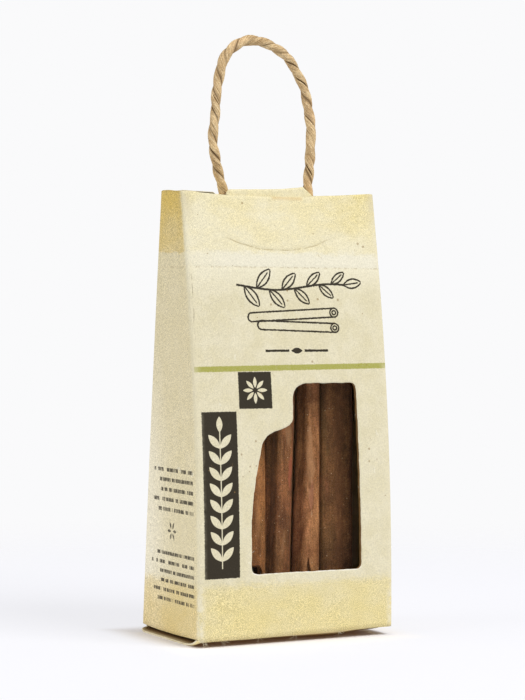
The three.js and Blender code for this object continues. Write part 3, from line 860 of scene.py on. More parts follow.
def front_ink(leaf, here, u, v):
    """The front's dark ink: a plate and a tile with pale ornaments, and a twig over two lying sticks."""
    rough_u = roughened(u, here, 1900, 0.36)
    rough_v = roughened(v, here, 1750, 0.36)
    plate_middle = (PLATE[0] + PLATE[1]) / 2
    pale_leaves = [(plate_middle, SPRIG_LOW_V + SPRIG_STEP * i, 90 + side * SPRIG_SPLAY, *SPRIG_LEAF)
                   for i in range(SPRIG_PAIRS) for side in (-1, 1)]
    pale_leaves.append((plate_middle, *SPRIG_TIP))
    pale_leaves += flower((TILE[0] + TILE[1]) / 2, (TILE[2] + TILE[3]) / 2, *TILE_FLOWER)
    ornament = leaves(u, v, leaf, pale_leaves, FINE_STROKE, "Fill")
    stem_sides = plate_middle - SPRIG_STEM_HALF, plate_middle + SPRIG_STEM_HALF
    ornament = either(ornament, box_mask(u, v, *stem_sides, *SPRIG_STEM, 0.07))
    plate = box_mask(rough_u, rough_v, *PLATE)
    plate = either(plate, box_mask(rough_u, rough_v, *TILE))
    plate = minus(plate, ornament, clamp=True)
    twig_leaves = [TWIG_TIP_LEAF]
    for i in range(TWIG_LEAVES):
        side = 1 if i % 2 else -1
        base_u = TWIG_LEAF_U + TWIG_LEAF_STEP * i
        base_v = TWIG_V + TWIG_WAVE * math.sin(TWIG_RATE * base_u)
        lean, length, width = (first - less * i for first, less in TWIG_LEAF_SIZES)
        twig_leaves.append((base_u, base_v, side * lean, length, width))
    ink = either(plate, leaves(rough_u, rough_v, leaf, twig_leaves, LEAF_STROKE, "Line"))
    twig_v = minus(rough_v, times_plus(calc("SINE", times(u, TWIG_RATE)), TWIG_WAVE, TWIG_V))
    ink = either(ink, box_mask(rough_u, twig_v, *TWIG_ENDS, -TWIG_HALF, TWIG_HALF, 0.08))
    for lying in LYING_STICKS:
        ink = either(ink, stick_line(rough_u, rough_v, *lying))
    for rule in RULES:
        ink = either(ink, box_mask(rough_u, rough_v, *rule, 0.08))
    return either(ink, leaves(rough_u, rough_v, leaf, [RULE_LEAF], FINE_STROKE, "Fill"))


def side_ink(leaf, here, u, v):
    """The left side's dark ink: rows of short rules, broken like words, and a small flower between them."""
    ink = leaves(u, v, leaf, flower(*SIDE_FLOWER), FINE_STROKE, "Fill")
    for start, low, high, pitch in SIDE_ROWS:
        row = divided(minus(v, low), pitch)
        number = calc("FLOOR", row)
        within = minus(calc("FRACT", row), 0.5)
        ragged = node("ShaderNodeTexWhiteNoise", {"W": number}, noise_dimensions="1D").outputs["Value"]
        begin = times_plus(ragged, SIDE_ROW_RAGGED, start)
        word = times_plus(number, WORD_SHIFT, times(u, WORD_RATE))
        breaks = node("ShaderNodeTexNoise", {"W": word, "Scale": 1.0, "Detail": 1.0}, noise_dimensions="1D")
        inked = ramp(absolute(minus(breaks.outputs["Fac"], 0.5)), 0.016, 0.026)
        bar = times(between(within, *RULE_HALF), ramp(minus(u, begin), -0.1, 0.1), inked,
                    box_mask(u, v, start, SIDE_ROW_END, low, high, 0.08))
        ink = either(ink, bar)
    worn = ramp(grain(stretch(here, (1, 1, 0.4)), 1500, 1), 0.34, 0.5, 0.5, 0.92)
    return times(ink, worn)


def sheet_place(tree):
    """The UV place on a sheet, as two numbers."""
    sheet = node("ShaderNodeUVMap", tree=tree, uv_map="sheet").outputs[0]
    return node("ShaderNodeSeparateXYZ", {0: sheet}).outputs[:2]


def printed_card_material(name, fibres, leaf, ink_of):
    """Card with its washes, stripe and dark ink, and the wear of its folds, crease and cut edges."""
    material, tree, shader = new_material(name)
    card = node("ShaderNodeGroup", tree=tree, node_tree=fibres).outputs
    here = place(tree)
    uv = sheet_place(tree)
    u = times_plus(uv[0], UV_SPAN_U, UV_START_U)
    v = times_plus(uv[1], UV_SPAN_V, UV_START_V)
    on_side = either(ramp(u, -0.2, -2.0), ramp(u, PACK_WIDTH + 1.4, PACK_WIDTH + 3.0))
    colour, stipple = card_with_washes(card, here, u, v, on_side)

    # Green stripe across the front
    tilted = roughened(minus(v, times(u, STRIPE_RISE)), here, 1700, 0.4)
    stripe = box_mask(u, tilted, *STRIPE)
    colour = blend(times(stripe, ramp(stipple, 0.3, 0.6, 0.7, 0.95)), colour, srgb(158, 157, 62))
    ink = times(ink_of(leaf, here, u, v), ramp(stipple, 0.25, 0.45, 0.95, 0.99))
    colour = blend(ink, colour, INK)
    colour = blend(times(card["Fleck"], 0.55), colour, srgb(138, 108, 62))

    # Rubbed folds and grey top corners
    fold = calc("MINIMUM", absolute(u), absolute(minus(u, PACK_WIDTH)))
    rub = grain(here, 420, 4, 0.7)
    ends = either(ramp(v, *FOOT_WEAR), ramp(v, *TOP_WEAR, 0.0, 0.5))
    soft_wear = times(ramp(fold, 3.0, 0.2), ramp(rub, 0.28, 0.62))
    colour = blend(times(soft_wear, 0.42), colour, srgb(226, 217, 186))
    hard_wear = times(ramp(fold, 2.6, 0.3), ramp(rub, 0.36, 0.62), ends)
    colour = blend(times(hard_wear, 0.62), colour, srgb(228, 222, 202))
    corner = times(ramp(fold, 4.2, 1.2), ramp(v, *GREY_CORNER), ramp(rub, 0.25, 0.55))
    colour = blend(times(corner, 0.3), colour, srgb(186, 172, 134))

    # The crack beside the left fold, the perforated crease and painted shade along the groove of the tuck
    # flap's lip
    crack_u = minus(roughened(u, here, 200, 0.9), CRACK_U)
    crack = times(between(crack_u, 0.03, 0.16), ramp(v, *CRACK_FOOT), ramp(v, *CRACK_HEAD),
                  ramp(grain(here, 260, 2), 0.44, 0.56))
    colour = blend(times(crack, 0.4), colour, srgb(120, 100, 68))
    crease_v = roughened(minus(v, CREASE_Z), here, 900, 0.5)
    dots = ramp(grain(here, 1000, 1), 0.47, 0.6)
    crease = times(between(crease_v, 0.0, 0.42), dots)
    colour = blend(times(crease, 0.26), colour, srgb(158, 130, 84))
    middle = divided(minus(u, PACK_WIDTH / 2 + TUCK_MIDDLE), TUCK_HALF)
    lip = times_plus(times(middle, middle), TUCK_SIDE_Z - TUCK_LIP_Z, TUCK_LIP_Z)
    lip_v = minus(v, roughened(lip, here, 160, 1.1))
    smile = times(between(lip_v, 0.02, 0.24), between(middle, 0.85, 1.0), ramp(rub, 0.34, 0.5))
    colour = blend(times(smile, 0.5), colour, srgb(164, 140, 84))

    # Painted shade along the front's top edge below the tongue, and the torn lower edge of the window
    if ink_of is front_ink:
        colour = blend(times(box_mask(u, v, *TOP_EDGE_SHADE, 0.5), 0.36), colour, srgb(200, 160, 92))
    low_edge = ramp(v, WINDOW_BOTTOM + 0.8, WINDOW_BOTTOM + 0.1, 0.12, 0.8)
    torn = times(ramp(stored(tree, "cut_wear_and_painted_shade"), 0.76, 0.95), ramp(rub, 0.36, 0.55), low_edge)
    colour = blend(torn, colour, srgb(236, 233, 222))

    height = minus(card["Height"], times(crease, 0.9))
    height = minus(height, times(crack, 1.2))
    height = plus(height, times(ramp(fold, 1.6, 0.2), rub))
    feed(shader, {"Base Color": colour, "Normal": bump(height, 0.08),
                  "Roughness": ramp(ink, 0.0, 1.0, 0.9, 0.62), "Specular IOR Level": 0.25})
    return material


def bare_card_material(fibres, name, low, high):
    """Unprinted card, for the inside faces and for the cut edges, with painted shade in dark brown where
    marked.
    """
    material, tree, shader = new_material(name)
    card = node("ShaderNodeGroup", tree=tree, node_tree=fibres).outputs
    colour = blend(ramp(card["Mottle"], 0.3, 0.7), srgb(*low), srgb(*high))
    # Painted shade: dark brown where the piece marks it
    colour = blend(stored(tree, "cut_wear_and_painted_shade"), colour, srgb(112, 84, 48))
    colour = shade(colour, card["Pulp"], 0.3, 0.7, 0.9, 1.06)
    colour = blend(times(card["Fleck"], 0.5), colour, srgb(140, 112, 70))
    feed(shader, {"Base Color": colour, "Normal": bump(card["Height"], 0.06), "Roughness": 0.92,
                  "Specular IOR Level": 0.2})
    return material


card_fibres, drawn_leaf = fibre_group(), leaf_group()
card_finishes = [
    printed_card_material("printed_card_sides", card_fibres, drawn_leaf, side_ink),
    bare_card_material(card_fibres, "bare_card_inside", (188, 166, 122), (204, 184, 142)),
    bare_card_material(card_fibres, "cut_card_edge", (206, 194, 160), (226, 216, 188)),
    printed_card_material("printed_card_front", card_fibres, drawn_leaf, front_ink),
]


def finish_card(made):
    """Swells the piece with the filled pack, and gives it the card's finishes."""
    made.data.transform(Matrix.Diagonal((FULLNESS, FULLNESS, 1, 1)))
    for material in card_finishes:
        made.data.materials.append(material)
    place_piece(made, "card", "carton")


walls = walls_mesh()
finish_card(walls)

# ---------------------------------------------------------------------------------------------------------
# Lid. Three strips of the same card close the top: two lie flat beside the cord holes, and the tongue between
# them is pushed up by the knots, folds over at the front and goes down behind the front wall as a tuck flap.
TONGUE_LEFT, TONGUE_RIGHT = -16.9, 11.0
# How high the tongue's fold stands at places along X
TONGUE_CREST = [(-16.9, 130.5), (-16.4, 131.3), (-15.9, 131.62), (-12.7, 131.75), (-7.8, 131.89),
                (-2.8, 132.04), (2.2, 132.33), (7.3, 132.84), (8.3, 133.05), (11.0, 130.8)]
# The tongue's line from the hinge up to its fold and then over it, as [way back from its front, height over
# the crest]
TONGUE_RISE = [(8, -0.5), (2.4, -0.1)]
TONGUE_BEND = [(2.4, -0.1), (0.7, 0.05), (0.05, 0), (0, -0.55), (0, -1.1)]
# How far the tuck flap lies behind the front wall, low down and by the top
TUCK_GAP = 0.35
TOP_GAP = 0.1
CORD_NOTCH, NOTCH_REACH = 3.5, 8
# How high the front edges of the two flat strips stand at places along X. The left one gapes beside the cord
# and is pressed down in front of it.
LID_LEFT_EDGE = [(-31, 130.92), (-26.2, 130.76), (-21.4, 130.66), (-20.9, 130.3), (-20.4, 129.85),
                 (-17, 129.75)]
LID_RIGHT_EDGE = [(11, 130.3), (31, 130.3)]
# How much the strips buckle, how uneven their front edges are, and how far they stop short of the tongue
LID_BUCKLE, LID_WAVER, LID_SETBACK = 0.25, 0.06, 1.5


def strip_faces(rows, columns, keep=None):
    """Quads of a grid whose rows run along X. keep says which stay."""
    faces = []
    for r in range(rows - 1):
        for c in range(columns - 1):
            if keep is None or keep[r, c]:
                a = r * columns + c
                faces.append((a, a + 1, a + columns + 1, a + columns))
    return faces


def card_strip(name, profile, stations, thickness=CARD, uv_v=None, along_y=False):
    """A strip of card: profile(x) gives its outer [y, z] line at a station, and the card lies to its left.
    With along_y the stations run along Y and the lines are [x, z]."""
    outer, inner, uv = [], [], []
    for at in stations:
        line = np.array(profile(at), float)
        run = np.gradient(line, axis=0)
        run /= np.linalg.norm(run, axis=1)[:, None]
        side = np.column_stack([-run[:, 1], run[:, 0]])
        for rows, places in ((outer, line), (inner, line + side * thickness)):
            level_at = np.full(len(line), at)
            columns = [places[:, 0], level_at, places[:, 1]] if along_y else [level_at, *places.T]
            rows.append(np.column_stack(columns))
        height = line[:, 1] if uv_v is None else np.full(len(line), uv_v)
        uv.append(sheet_uv(np.full(len(line), at + PACK_WIDTH / 2), height))
    faces = strip_faces(len(stations), len(outer[0]))
    if along_y:
        faces = [face[::-1] for face in faces]
    return thick_sheet(name, faces, np.vstack(outer), np.vstack(inner), np.vstack(uv))


def tongue_profile(x):
    """From the hinge at the back over the fold and down behind the front wall to the tuck flap's lip."""
    crest = float(edge_height(TONGUE_CREST, x)) + 0.05 * noise_at(x * 0.5, 6.1)
    front = wall_y(-1, SHOULDER_Z) + CARD + TOP_GAP
    back = wall_y(1, SHOULDER_Z) - 0.3
    lip = tuck_lip(x)
    rise, bend = ([(front + way, crest + high) for way, high in line] for line in (TONGUE_RISE, TONGUE_BEND))
    hinge = curve_points([(back, SHOULDER_Z - 0.1)] + rise, 8)
    over = curve_points(bend, 10)
    down = [(wall_y(-1, z) + CARD + TOP_GAP + (TUCK_GAP - TOP_GAP) * (1 - soft_step(z, 117, 128)), z)
            for z in np.linspace(min(bend[-1][1], SHOULDER_Z), lip, 16)]
    return [tuple(p) for p in hinge + over] + down


tongue_stations = np.concatenate([np.linspace(TONGUE_LEFT, 8.3, 46), np.linspace(8.6, TONGUE_RIGHT, 9)])
lid_front = wall_y(-1, SHOULDER_Z) + CARD + TOP_GAP
tongue = card_strip("lid_tongue", tongue_profile, tongue_stations)
# Its left side is cut back behind the fold, round the cord
for point in tongue.data.vertices:
    x, y, z = point.co / MM
    share = max(1 - (x - TONGUE_LEFT) / NOTCH_REACH, 0)
    point.co.x = (x + CORD_NOTCH * share * float(soft_step(y - lid_front, 0.9, 2.6))) * MM
finish_card(tongue)

lid_back = wall_y(1, SHOULDER_Z) - 0.05
lid_half = PACK_WIDTH / 2 - CARD - 0.1


def lid_strip(name, low_x, high_x, edge, thickness):
    """One of the flat strips beside the tongue, a little buckled."""
    def profile(x):
        buckle = LID_BUCKLE * noise_at(x * 0.15, 2.2)
        front_z = float(edge_height(edge, x)) + LID_WAVER * noise_at(x * 0.35, 9.2)
        front = lid_front + (LID_SETBACK if TONGUE_LEFT - 0.4 < x < TONGUE_RIGHT else 0)
        return [(y, front_z - 0.1 * (y - lid_front) / 10
                 + buckle * math.sin(math.pi * (y - lid_front) / (lid_back - lid_front)))
                for y in np.linspace(lid_back, front, 12)]

    finish_card(card_strip(name, profile, np.linspace(low_x, high_x, 40), thickness))


lid_strip("lid_left", -lid_half, TONGUE_LEFT + 5, LID_LEFT_EDGE, 0.2)
lid_strip("lid_right", TONGUE_RIGHT + 0.3, lid_half, LID_RIGHT_EDGE, CARD)

# ---------------------------------------------------------------------------------------------------------
# Base. The bottom panel hinges on the front wall's foot, sags to the surface below and turns up inside the
# back wall. Two short dust flaps fold in over it from the side walls, and their bends show below the sides.
BOTTOM_RIGHT_INSET = 4.0
BOTTOM_LEFT_REACH = 0.15
# The fold under the front wall, as [way back, height over the foot edge]
PANEL_FOLD = [(0.05, 0.5), (0.05, 0), (0.55, -0.04)]
# The panel's slope down from that fold, and its rise at the back inside the wall, as [way back, height]
PANEL_SLOPE = [(1.9, 1.1), (4.0, 0.1), (8.5, 0.02)]
PANEL_RISE = [(-1.6, 0.02), (0.85, 0.02), (0.85, 1.2), (0, 2.3)]
PANEL_TUCK_Z = 12
# How far back the panel is flat from, and how much further back its slope reaches at its right end
PANEL_FLAT_FROM = 22.5
PANEL_RECEDE = 1.6
# How far the panel's middle stands off the floor, from which its left edge curls down
PANEL_LIFT = 0.5
half_width = PACK_WIDTH / 2
panel_left, panel_right = -half_width - BOTTOM_LEFT_REACH, half_width - BOTTOM_RIGHT_INSET


def corner_inset(x):
    """How far the soft corner draws the front fold back near its ends."""
    from_corner = min(max(half_width - abs(x), 0), FOLD_REACH)
    return FOLD_REACH * (1 - math.sqrt(from_corner / FOLD_REACH)) ** 2


def bottom_profile(x):
    """From the fold under the front, along the floor and up inside the back wall."""
    foot = float(edge_height(FOOT_EDGE, min(max(x + FRONT_MIDDLE, FRONT_START), FRONT_END)))
    front = -BASE_DEPTH / 2 + corner_inset(x)
    back = wall_y(1, FOOT_Z) - CARD - TUCK_GAP
    fold_line = [(front + way, foot + high) for way, high in PANEL_FOLD]
    fold = curve_points(fold_line, 6)
    lift = PANEL_LIFT * soft_step(x, panel_left + 0.1, panel_left + 1.6) * (1 - soft_step(x, -8, 12))
    recede = 1 + PANEL_RECEDE * soft_step(x, 14, 26)
    slope_line = [(front + way * recede, high * foot / FOOT_Z + lift) for way, high in PANEL_SLOPE]
    slope = curve_points([fold_line[-1]] + slope_line, 16)
    rise_start, floor_gap = PANEL_RISE[0]
    flat = [(y, floor_gap + lift) for y in np.linspace(front + PANEL_FLAT_FROM, back + rise_start, 12)[:-1]]
    rise = curve_points([(back + way, high + lift) for way, high in PANEL_RISE], 10)
    tuck_top = wall_y(1, PANEL_TUCK_Z) - CARD - TUCK_GAP
    return [tuple(p) for p in fold + slope] + flat + [tuple(p) for p in rise] + [
        (back, FOOT_Z), (tuck_top, PANEL_TUCK_Z)]


bottom_stations = np.concatenate([np.linspace(panel_left, panel_left + 2.4, 9),
                                  np.linspace(-28.5, panel_right, 32)])
bottom = card_strip("bottom_panel", bottom_profile, bottom_stations, uv_v=6.0)
# The tuck's side is cut back to clear the wall, and the underside past the fold gets painted shade, browner
# than the printed fold
under = []
for point in bottom.data.vertices:
    x, y, z = point.co / MM
    if y > 0 and z > 0.75 + PANEL_LIFT:
        point.co.x = max(x, -half_width + 1.2 + 0.1 * z) * MM
    past_fold = soft_step(y + BASE_DEPTH / 2 - corner_inset(x), 0.7, 1.8)
    under.append(float(past_fold * soft_step(x - panel_left, 0.2, 1.2)))
store(bottom, "cut_wear_and_painted_shade", np.array(under))
finish_card(bottom)
bottom.data.materials[0] = bare_card_material(card_fibres, "card_underside", (222, 205, 150), (232, 216, 168))

DUST_HALF_DEPTH = 16.6
# How low the bend of a dust flap hangs at places along Y
DUST_BEND = [(-17, 2.3), (-12.8, 1.95), (-6, 1.85), (4, 1.8), (14.3, 1.95), (17, 2.2)]
# The flap's outer line from behind the side wall round the bend: [way in from the wall's face, height above
# the bend]
DUST_LINE = [(1.7, 1.5), (1.4, 0.9), (1.25, 0.45), (1.35, 0.12), (1.8, 0.0), (2.8, -0.02), (5.0, -0.05),
             (8.0, -0.15), (14.0, -0.3)]


def dust_flap(name, sign, inset):
    """A dust flap at the left (-1) or right (1) side. inset is how far in and up it lies."""
    def profile(y):
        """Its line from behind the side wall round the bend and in."""
        bend = float(edge_height(DUST_BEND, y)) + inset * 0.5
        line = [(sign * (half_width - inset - way), max(bend + high, 0.6)) for way, high in DUST_LINE]
        return line if sign < 0 else line[::-1]

    finish_card(card_strip(name, profile, np.linspace(-DUST_HALF_DEPTH, DUST_HALF_DEPTH, 26), uv_v=6.0,
                           along_y=True))


dust_flap("dust_flap_left", -1, 0)
dust_flap("dust_flap_right", 1, 1.2)

# ---------------------------------------------------------------------------------------------------------
# Loose fibres. The card's rough cut edges shed a few pale pulp fibres, which stick out in small tufts at the
# front foot and at the corners of the window.
FIBRE_RADIUS = 0.05
FIBRE_SIDES = 5
FIBRE_STEPS = 6
FOOT_FIBRE, WINDOW_FIBRE = 2.2, 0.8
FIBRE_SEED = 23
# Each tuft: its place along X, how many fibres, and how they lean in X and Z
FOOT_TUFTS = [(-30.2, 5, 0.1, -0.9), (-24.6, 3, 0.6, -0.9), (-12.9, 2, 0.5, -0.8), (-1.3, 2, -0.4, -0.9),
              (13.8, 4, 0.6, -0.8)]
# Each tuft: its place in X and Z, how many fibres, and how they lean
WINDOW_TUFTS = [(-14.9, 26.5, 2, 0.6, 0.5), (20.9, 44.0, 2, -0.7, 0.4), (20.9, 66.0, 2, -0.7, -0.5)]


def fibre_route(draw, start, lean, longest):
    """A short curled fibre from a place on a cut edge."""
    length = longest * draw.uniform(0.45, 1)
    heading = np.array([lean[0] + draw.normal(0, 0.35), draw.uniform(-0.7, -0.15),
                        lean[1] + draw.normal(0, 0.3)])
    heading /= np.linalg.norm(heading)
    curl = draw.normal(0, 0.5, 3)
    route = [np.array(start)]
    for _ in range(FIBRE_STEPS):
        route.append(route[-1] + heading * length / FIBRE_STEPS)
        heading = heading + curl / FIBRE_STEPS
        heading /= np.linalg.norm(heading)
    return np.array(route)


def fibres_mesh():
    """All the fibres, as thin tubes that narrow towards their ends."""
    draw = np.random.default_rng(FIBRE_SEED)
    routes = []
    for x, count, lean_x, lean_z in FOOT_TUFTS:
        for _ in range(count):
            at_x = x + draw.normal(0, 0.5)
            foot = float(edge_height(FOOT_EDGE, at_x + FRONT_MIDDLE))
            start = (at_x, wall_y(-1, FOOT_Z) + 0.15, foot + 0.05)
            routes.append(fibre_route(draw, start, (lean_x, lean_z), FOOT_FIBRE))
    for x, z, count, lean_x, lean_z in WINDOW_TUFTS:
        for _ in range(count):
            at_z = z + draw.normal(0, 0.25)
            start = (x + draw.normal(0, 0.2), wall_y(-1, at_z) + 0.25, at_z)
            routes.append(fibre_route(draw, start, (lean_x, lean_z), WINDOW_FIBRE))
    vertices, faces = [], []
    for route in routes:
        first = len(vertices)
        run = np.gradient(route, axis=0)
        for i, (spot, way) in enumerate(zip(route, run)):
            way = way / np.linalg.norm(way)
            across = np.cross(way, (0.3, 0.9, 0.2))
            across /= np.linalg.norm(across)
            other = np.cross(way, across)
            radius = FIBRE_RADIUS * (1 - 0.6 * i / (len(route) - 1))
            for k in range(FIBRE_SIDES):
                turn = 2 * math.pi * k / FIBRE_SIDES
                vertices.append(spot + radius * (math.cos(turn) * across + math.sin(turn) * other))
        faces += tube_faces(len(route), FIBRE_SIDES, first)
    return make_object("loose_card_fibres", vertices, faces)


fibres = fibres_mesh()
fibres.data.materials.append(bare_card_material(card_fibres, "loose_fibre", (222, 212, 180), (234, 226, 200)))
place_piece(fibres, "card", "carton")

# ---------------------------------------------------------------------------------------------------------
# Film. A clear film is glued behind the window. It is thin and a little slack, and hardly shows.
FILM_GAP = 0.4
FILM = 0.12
FILM_MARGIN = 4.5


def film_profile(x):
    """A little slack behind the front wall, from above the window to below it."""
    line = []
    for z in np.linspace(WINDOW_TOP + FILM_MARGIN, WINDOW_BOTTOM - FILM_MARGIN, 50):
        slack = 0.10 * noise_at(x * 0.07, z * 0.05, 2.5)
        line.append((wall_y(-1, z) + CARD + FILM_GAP + slack, z))
    return line


def film_material():
    """Clear, with a faint gloss."""
    material, tree, _ = new_material("clear_film")
    tree.nodes.clear()
    clear = node("ShaderNodeBsdfTransparent", {"Color": srgb(252, 250, 246)}, tree)
    gloss = node("ShaderNodeBsdfGlossy", {"Color": (1, 1, 1, 1), "Roughness": 0.16}, tree)
    share = node("ShaderNodeFresnel", {"IOR": 1.12}, tree)
    mix = node("ShaderNodeMixShader", {0: share.outputs[0], 1: clear.outputs[0], 2: gloss.outputs[0]})
    node("ShaderNodeOutputMaterial", {"Surface": mix.outputs[0]})
    return material


film = card_strip("window_film_sheet", film_profile,
                  np.linspace(WINDOW_LEFT - FILM_MARGIN, WINDOW_RIGHT + FILM_MARGIN, 30), FILM)
clear_film = film_material()
for _ in range(3):
    film.data.materials.append(clear_film)
place_piece(film, "film", "window_film")

# ---------------------------------------------------------------------------------------------------------
# Sticks. Each is a sheet of dried inner bark, 0.8 mm thick in its layers, that has rolled itself up while it
# dried. Its outer face has fine lines along it, dull olive and warm tan patches and a few scars, and a few of
# its patches are painted shade or light. The free edge of the roll is thin and ragged. One stick has lost its
# lower front, and one is split at the foot.
BARK = 0.75
# The free edge starts at this share of the bark's thickness, and takes so many steps to reach all of it
EDGE_SHARE, EDGE_STEPS = 0.4, 14
ROLL_PITCH = 1.15
ROLL_TURNS = 1.75
ROLL_STEPS = 200
# Relief of the bark in millimetres: lines along it, slow waves, and how ragged its ends and free edge are
FINE_LINES, BROAD_LINES = 0.045, 0.04
LONG_WAVES, ROUND_WAVES = 0.07, 0.1
FOOT_RAGGED, HEAD_RAGGED, TORN_RAGGED, TORN_SPLINTERS = 0.35, 0.4, 0.45, 0.25
# How far a stick bows out of straight
BOW_X, BOW_Y = 0.25, 0.2
LENGTH_STEPS = 150
# What one UV unit stands for: radians turned and height
BARK_UV_TURN, BARK_UV_HEIGHT = 14, 110
STICK_FOOT_Z = 3.2
SMOOTHING = math.radians(13)
# Places across a stick are given as how far the roll has turned from its free edge.
# The torn stick's lower end, as [turned in radians, height]
TORN_END = [(0, 3.3), (0.22, 3.3), (0.3, 18.4), (0.5, 21.0), (0.716, 22.0), (2.0, 22.6), (3.6, 22.0),
            (3.75, 3.3), (2 * math.pi, 3.3)]
SPLIT_AT, SPLIT_TOP = 1.086, 22.9
SPLIT_SLOPE, SPLIT_WIDEST = 0.055, 0.3
# Sizes: radius, axis at foot and head, length, taper, the free edge's direction in degrees, flat sides as
# [direction, distance from the axis], what happened to its foot, and its dark and light colours. Patches:
# turned in degrees, height above the foot, half sizes in degrees and millimetres, colour and strength.
STICKS = [
    dict(radius=4.3, foot=(-12.1, -13.1), head=(-9.5, -6.3), length=99, taper=0, free_edge=-38, facets=[],
         end="torn", dark=(122, 80, 46), light=(168, 116, 72), patches=[
             (60, 60, 22, 9, (150, 112, 70), 0.5), (52, 30, 12, 8, (176, 126, 84), 0.5)]),
    dict(radius=5.2, foot=(-2.7, -8.6), head=(0.45, -7.1), length=91, taper=0, free_edge=130,
         facets=[(-145, 4.0), (-69, 4.25)], end="", dark=(104, 68, 44), light=(148, 100, 66), patches=[
             (190, 57, 20, 4, (166, 126, 92), 0.7), (174, 46, 10, 4, (176, 100, 76), 0.8),
             # Stick 2: its dark patch at 268 degrees, on its left side, is painted shade
             (205, 25, 12, 4, (182, 136, 98), 0.5), (268, 44, 16, 30, (96, 68, 50), 0.6),
             (215, 53.4, 5, 1.2, (74, 48, 28), 0.9)]),
    dict(radius=4.75, foot=(7.5, -8.7), head=(12.95, -2.3), length=102, taper=0.36, free_edge=-36,
         facets=[(-154, 4), (-80, 4.2)], end="split", dark=(132, 88, 56), light=(184, 132, 90), patches=[
             (51, 38, 14, 5, (196, 136, 108), 0.6), (51, 33, 6, 1.5, (202, 160, 124), 0.8),
             # Stick 3: its dark patch at 114 degrees, on its left side, is painted shade
             (64, 21.8, 18, 3, (104, 68, 44), 0.7), (114, 50, 18, 18, (104, 70, 42), 0.4),
             (62, 50, 24, 9, (212, 162, 120), 0.6)]),
    dict(radius=6.25, foot=(18.2, -7.7), head=(22.2, -0.8), length=97, taper=0, free_edge=-46,
         facets=[(-95, 4.1)], end="", dark=(108, 74, 46), light=(142, 100, 64), patches=[
             # Stick 4: the lighter patch at 48 degrees on its front is painted light, and the dark strip at 6
             # degrees by its free edge is a painted shadow of the window's right edge
             (120, 45, 26, 30, (118, 90, 54), 0.5), (48, 45, 24, 40, (142, 98, 66), 0.6),
             (6, 45, 6, 60, (76, 50, 30), 0.7)]),
]


def section_reach(radius, facets, angle):
    """The outer turn's distance from the axis, flat where it dried against something."""
    reach = radius
    for direction, distance in facets:
        lean = math.cos(angle - math.radians(direction))
        if lean > 0.1:
            reach = min(reach, distance / lean)
    return reach


def smooth_reach(radius, facets, angle):
    """The same with its corners rounded off."""
    around = [section_reach(radius, facets, angle + SMOOTHING * k / 3) for k in range(-3, 4)]
    return sum(around) / len(around)


def stick_mesh(name, seed, radius, foot, head, length, taper, free_edge, facets, end):
    """One rolled sheet of bark, row by row from its foot to its head."""
    count = ROLL_STEPS + 1
    turns = np.linspace(0, ROLL_TURNS * 2 * math.pi, count)
    reaches = [smooth_reach(radius, facets, math.radians(free_edge) - turned)
               - ROLL_PITCH * turned / (2 * math.pi) for turned in turns]
    lines = [FINE_LINES * noise_at(i * 0.9, seed * 5.0) + BROAD_LINES * noise_at(i * 0.31, seed * 2.0)
             for i in range(count)]
    low = np.full(count, STICK_FOOT_Z)
    low += np.array([FOOT_RAGGED + FOOT_RAGGED * noise_at(t * 1.4, seed) for t in turns])
    if end == "torn":
        low = edge_height(TORN_END, turns % (2 * math.pi))
        low += np.array([TORN_RAGGED * noise_at(t * 7, 0.5) + TORN_SPLINTERS * noise_at(t * 21, 4.5)
                         for t in turns])
        low = np.maximum(low, STICK_FOOT_Z)
    high = np.array([STICK_FOOT_Z + length - HEAD_RAGGED + HEAD_RAGGED * noise_at(t * 1.6, seed, 8.0)
                     for t in turns])
    split_column = int(np.argmin(np.abs(turns - SPLIT_AT)))
    outer, inner, uv = [], [], []
    keep = np.ones((LENGTH_STEPS, ROLL_STEPS), bool)
    for j in range(LENGTH_STEPS + 1):
        for i, turned in enumerate(turns):
            z = low[i] + (high[i] - low[i]) * j / LENGTH_STEPS
            h = z - STICK_FOOT_Z
            x0 = foot[0] + (head[0] - foot[0]) * h / length + BOW_X * noise_at(h * 0.03, seed, 1)
            y0 = foot[1] + (head[1] - foot[1]) * h / length + BOW_Y * noise_at(h * 0.03, seed, 2)
            width = 1 - taper * h / length
            ragged = 0.05 * noise_at(h * 0.35, seed, 3) + 0.1 * noise_at(h * 0.06, seed, 4)
            angle = math.radians(free_edge) - turned - ragged * math.exp(-turned / 0.4)
            if end == "split" and z < SPLIT_TOP:
                open_by = min(SPLIT_SLOPE * (SPLIT_TOP - z), SPLIT_WIDEST)
                from_split = turned - turns[split_column] - 1e-6
                angle -= math.copysign(open_by * math.exp(-abs(from_split) / 0.6), from_split)
                if j < LENGTH_STEPS and i < ROLL_STEPS and i == split_column:
                    keep[j, i] = False
            reach = reaches[i] + lines[i] + LONG_WAVES * noise_at(turned * 2.2, h * 0.04, seed * 3.0)
            reach += ROUND_WAVES * noise_at(turned * 0.8, h * 0.07, seed * 4.0)
            thin = BARK * (EDGE_SHARE + (1 - EDGE_SHARE) * min(1, (i + 1) / EDGE_STEPS))
            out_x, out_y = math.cos(angle), math.sin(angle)
            outer.append((x0 + width * reach * out_x, y0 + width * reach * out_y, z))
            inside = width * (reach - thin)
            inner.append((x0 + inside * out_x, y0 + inside * out_y, z))
            uv.append((turned / BARK_UV_TURN, h / BARK_UV_HEIGHT))
    faces = [face[::-1] for face in strip_faces(LENGTH_STEPS + 1, count, keep)]
    return thick_sheet(name, faces, np.array(outer), np.array(inner), np.array(uv))


